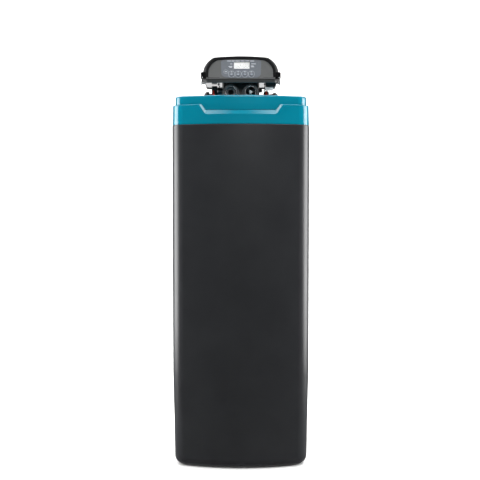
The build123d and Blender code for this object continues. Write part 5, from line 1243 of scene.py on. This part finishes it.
# Backlit cell: an even white glow, faintly clouded by the diffuser behind it.
backlight, tree, where = new_material("backlit_display_cell")
glow = add_node(
    tree, "ShaderNodeTexNoise", {"Scale": 70.0, "Detail": 2.0}, {"Vector": where}
)
shade = two_tone(tree, glow.outputs["Fac"], "#ecebe9", "#f6f5f3")
finish_material(
    tree,
    {"Roughness": 0.3, "Emission Strength": 0.5},
    {"Base Color": shade, "Emission Color": shade},
)
face_plate(
    "display_cell",
    window_outline(-CELL_MARGIN_MM),
    CELL_OUT_MM - CELL_THICKNESS_MM,
    CELL_OUT_MM,
    CELL_EDGE_MM,
    backlight,
)

# Liquid crystal segments: smoky grey bars that stand a hair in front of the glow.
segment_ink = moulded(
    "liquid_crystal_segments",
    dark="#a2a2a0",
    light="#acacaa",
    roughness=0.4,
    cloud_mm=3.0,
    grain_mm=1.0,
    grain_depth_mm=0.002,
)
DIGIT_WIDTH_MM = 6.0
DIGIT_HEIGHT_MM = 12.0
SEGMENT_MM = 1.1
SEGMENT_GAP_MM = 0.35
SEGMENT_HIGH_MM = 0.05
SEGMENT_EDGE_MM = 0.01
COLON_X_MM = 1.0
COLON_RISES_MM = (-2.4, 2.4)
COLON_RADIUS_MM = 0.7
FIGURES = [(-14.5, "1"), (-5.5, "2"), (7.5, "0"), (16.5, "0")]
LIT_SEGMENTS = {"0": "abcdef", "1": "bc", "2": "abged"}
half_w = DIGIT_WIDTH_MM / 2
half_h = DIGIT_HEIGHT_MM / 2
SEGMENT_PLACES = {
    "a": (0.0, half_h, True),
    "b": (half_w, half_h / 2, False),
    "c": (half_w, -half_h / 2, False),
    "d": (0.0, -half_h, True),
    "e": (-half_w, -half_h / 2, False),
    "f": (-half_w, half_h / 2, False),
    "g": (0.0, 0.0, True),
}
cell_middle = WINDOW_FOOT_MM + WINDOW_HEIGHT_MM / 2
segment_outlines = []
for figure_x, figure in FIGURES:
    for letter in LIT_SEGMENTS[figure]:
        offset_x, offset_up, level_bar = SEGMENT_PLACES[letter]
        reach = (DIGIT_WIDTH_MM if level_bar else half_h) / 2 - SEGMENT_GAP_MM
        tip = SEGMENT_MM / 2
        bar = [(-reach, 0), (-reach + tip, -tip), (reach - tip, -tip)]
        bar += [(reach, 0), (reach - tip, tip), (-reach + tip, tip)]
        if not level_bar:
            bar = [(-across, along) for along, across in bar]
        segment_outlines.append(
            [
                Vector((WINDOW_X_MM + figure_x + offset_x + dx, cell_middle + offset_up + dy))
                for dx, dy in bar
            ]
        )
for dot_up in COLON_RISES_MM:
    dot_spot = (WINDOW_X_MM + COLON_X_MM, cell_middle + dot_up)
    segment_outlines.append(oval_outline(*dot_spot, COLON_RADIUS_MM, COLON_RADIUS_MM, steps=16))
for number, outline in enumerate(segment_outlines, start=1):
    face_plate(
        f"display_segment_{number}",
        outline,
        CELL_OUT_MM + SKIN_GAP_MM,
        CELL_OUT_MM + SEGMENT_HIGH_MM,
        SEGMENT_EDGE_MM,
        segment_ink,
    )
FRAME_OUTSIDE_MM = 0.6
FRAME_INSIDE_MM = 0.9
FRAME_RISE_MM = 0.2
face_band(
    "window_frame",
    window_outline(FRAME_OUTSIDE_MM),
    window_outline(-FRAME_INSIDE_MM),
    overlay_skin + SKIN_GAP_MM,
    overlay_skin + FRAME_RISE_MM,
    white_ink,
)

# Keys: four caps of silicone rubber that push through the overlay, each with a low dome
# moulded on its end.

# Moulded silicone: blue-grey and satin. Where a key faces straight out it is painted pale
# as a highlight, and where it turns away darker as painted shade.
button_silicone_painted_shading, tree, where = new_material("moulded_silicone_blue_grey_painted_shading")
bloom = add_node(
    tree,
    "ShaderNodeTexNoise",
    {"Scale": 900.0, "Detail": 2.0},
    {"Vector": where},
)
facing = add_node(tree, "ShaderNodeNewGeometry")
painted_light_share = add_node(
    tree,
    "ShaderNodeVectorMath",
    {"operation": "DOT_PRODUCT", 1: tuple(face_out)},
    {0: facing.outputs["Normal"]},
)
bump = relief(tree, bloom.outputs["Fac"], depth_mm=0.01)
finish_material(
    tree,
    {"Roughness": 0.4, "IOR": 1.43, "Sheen Weight": 0.1},
    {
        "Base Color": two_tone(tree, painted_light_share.outputs["Value"], "#23262e", "#7c828c", 0.88, 0.995),
        "Normal": bump,
    },
)
dress(button_silicone_painted_shading, "button_1", "button_2", "button_3", "button_4")
DOME_PROFILE = [(0.0, 1.0), (1.2, 0.95), (2.4, 0.78), (3.5, 0.5), (4.3, 0.2), (4.75, -0.05)]
BUTTON_PROUD_MM = 0.9
for place in range(4):
    crown = face_point(
        BUTTON_X_MM + place * BUTTON_PITCH_MM, BUTTON_UP_MM, overlay_skin + BUTTON_PROUD_MM
    )
    dome = turned(f"button_dome_{place + 1}", DOME_PROFILE, crown, face_out, button_silicone_painted_shading)
    fasten(dome, f"key_{place + 1}")

# Circuit board: glass laminate under green solder resist, held on four posts by screws,
# with its parts soldered on the hidden side.

# Solder resist: deep glossy green, thinner over the copper tracks beneath, which shows as
# paler lines a millimetre or two wide.
TRACK_MM = 1.8
board_laminate, tree, where = new_material("solder_resist_on_laminate")
tracks = add_node(
    tree,
    "ShaderNodeTexVoronoi",
    {"distance": "CHEBYCHEV", "Scale": 1000.0 / TRACK_MM / 4},
    {"Vector": where},
)
bump = relief(tree, tracks.outputs["Distance"], depth_mm=0.05)
finish_material(
    tree,
    {"Roughness": 0.22, "IOR": 1.55},
    {
        "Base Color": two_tone(tree, tracks.outputs["Distance"], "#0f5a2c", "#1b7a3f", 0.35, 0.4),
        "Normal": bump,
    },
)
dress(board_laminate, "circuit_board")
BOARD_BACK_MM = -15.1
SCREW_PROFILE = [(0.0, 1.2), (0.7, 1.2), (0.7, 2.0), (2.6, 2.0), (3.0, 1.7), (3.0, 0.05)]
POST_SPOTS_MM = [(-50.0, 10.0), (50.0, 10.0), (-50.0, 56.0), (50.0, 56.0)]
for number, spot in enumerate(POST_SPOTS_MM, start=1):
    head = face_point(*spot, BOARD_BACK_MM)
    screw = turned(f"board_screw_{number}", SCREW_PROFILE, head, -face_out, zinc_plate, steps=24)
    fasten(screw, "hood")

# Moulded parts: name, centre across, height up, width, height, rise and material.
BOARD_BLOCKS = [
    ("timer_chip", 12.0, 30.0, 18.0, 14.0, 2.0, socket_abs),
    ("driver_chip", -22.0, 26.0, 9.0, 7.0, 1.8, socket_abs),
    ("lead_connector", -20.0, 12.0, 24.0, 7.0, 8.0, gear_acetal),
    ("relay", 36.0, 18.0, 16.0, 12.0, 13.0, socket_abs),
]
BLOCK_ROUND_SHARE = 0.08
BLOCK_GAP_MM = 0.05
BLOCK_EDGE_MM = 0.4
block_foot = BOARD_BACK_MM - BLOCK_GAP_MM
for name, x_mm, up_mm, width, height, rise, material in BOARD_BLOCKS:
    corners = box_corners(
        x_mm - width / 2, up_mm - height / 2, x_mm + width / 2, up_mm + height / 2
    )
    outline = rounded_outline(corners, [min(width, height) * BLOCK_ROUND_SHARE] * 4)
    face_plate(
        name, outline, block_foot, block_foot - rise, -BLOCK_EDGE_MM, material
    )
CAPACITOR_PROFILE = [
    (0.0, 11.0),
    (2.6, 11.0),
    (3.1, 10.6),
    (3.1, 1.6),
    (2.8, 1.2),
    (3.1, 0.8),
    (3.1, 0.1),
]
CAPACITOR_SPOTS_MM = [(-40.0, 40.0), (-32.0, 44.0), (30.0, 44.0)]
for number, spot in enumerate(CAPACITOR_SPOTS_MM, start=1):
    foot = face_point(*spot, BOARD_BACK_MM)
    can = turned(
        f"board_capacitor_{number}", CAPACITOR_PROFILE, foot, -face_out, zinc_plate, steps=24
    )
    fasten(can, "hood")

# Brine well's cap, the safety valve and the float: moulded in white polypropylene. The cap
# drops over the well, two ears hold the valve in it, and the float's rod slides in the valve.

# Moulded polypropylene, white: waxy, faintly see-through at thin edges.
cap_polypropylene = moulded(
    "moulded_polypropylene_white",
    dark="#d8d9d7",
    light="#e2e3e1",
    roughness=0.32,
    cloud_mm=30.0,
    grain_mm=1.5,
    grain_depth_mm=0.02,
    shader={"IOR": 1.49},
)
dress(cap_polypropylene, "well_cap", "safety_valve", "float_rod")

# Brine line: one length of extruded polyethylene tube, pushed into the elbow's nut and into
# the safety valve.

# Extruded polyethylene: soft black with a greasy shine.
line_polyethylene = moulded(
    "extruded_polyethylene_black",
    dark="#17181a",
    light="#1f2022",
    roughness=0.33,
    cloud_mm=25.0,
    grain_mm=2.0,
    grain_depth_mm=0.02,
    shader={"IOR": 1.51},
)
dress(line_polyethylene, "brine_line")

# Overflow elbow and its nut: moulded in black polypropylene. The elbow passes through the
# back wall, and the nut holds it from inside.
dress(boot_polypropylene, "overflow_elbow", "overflow_nut")
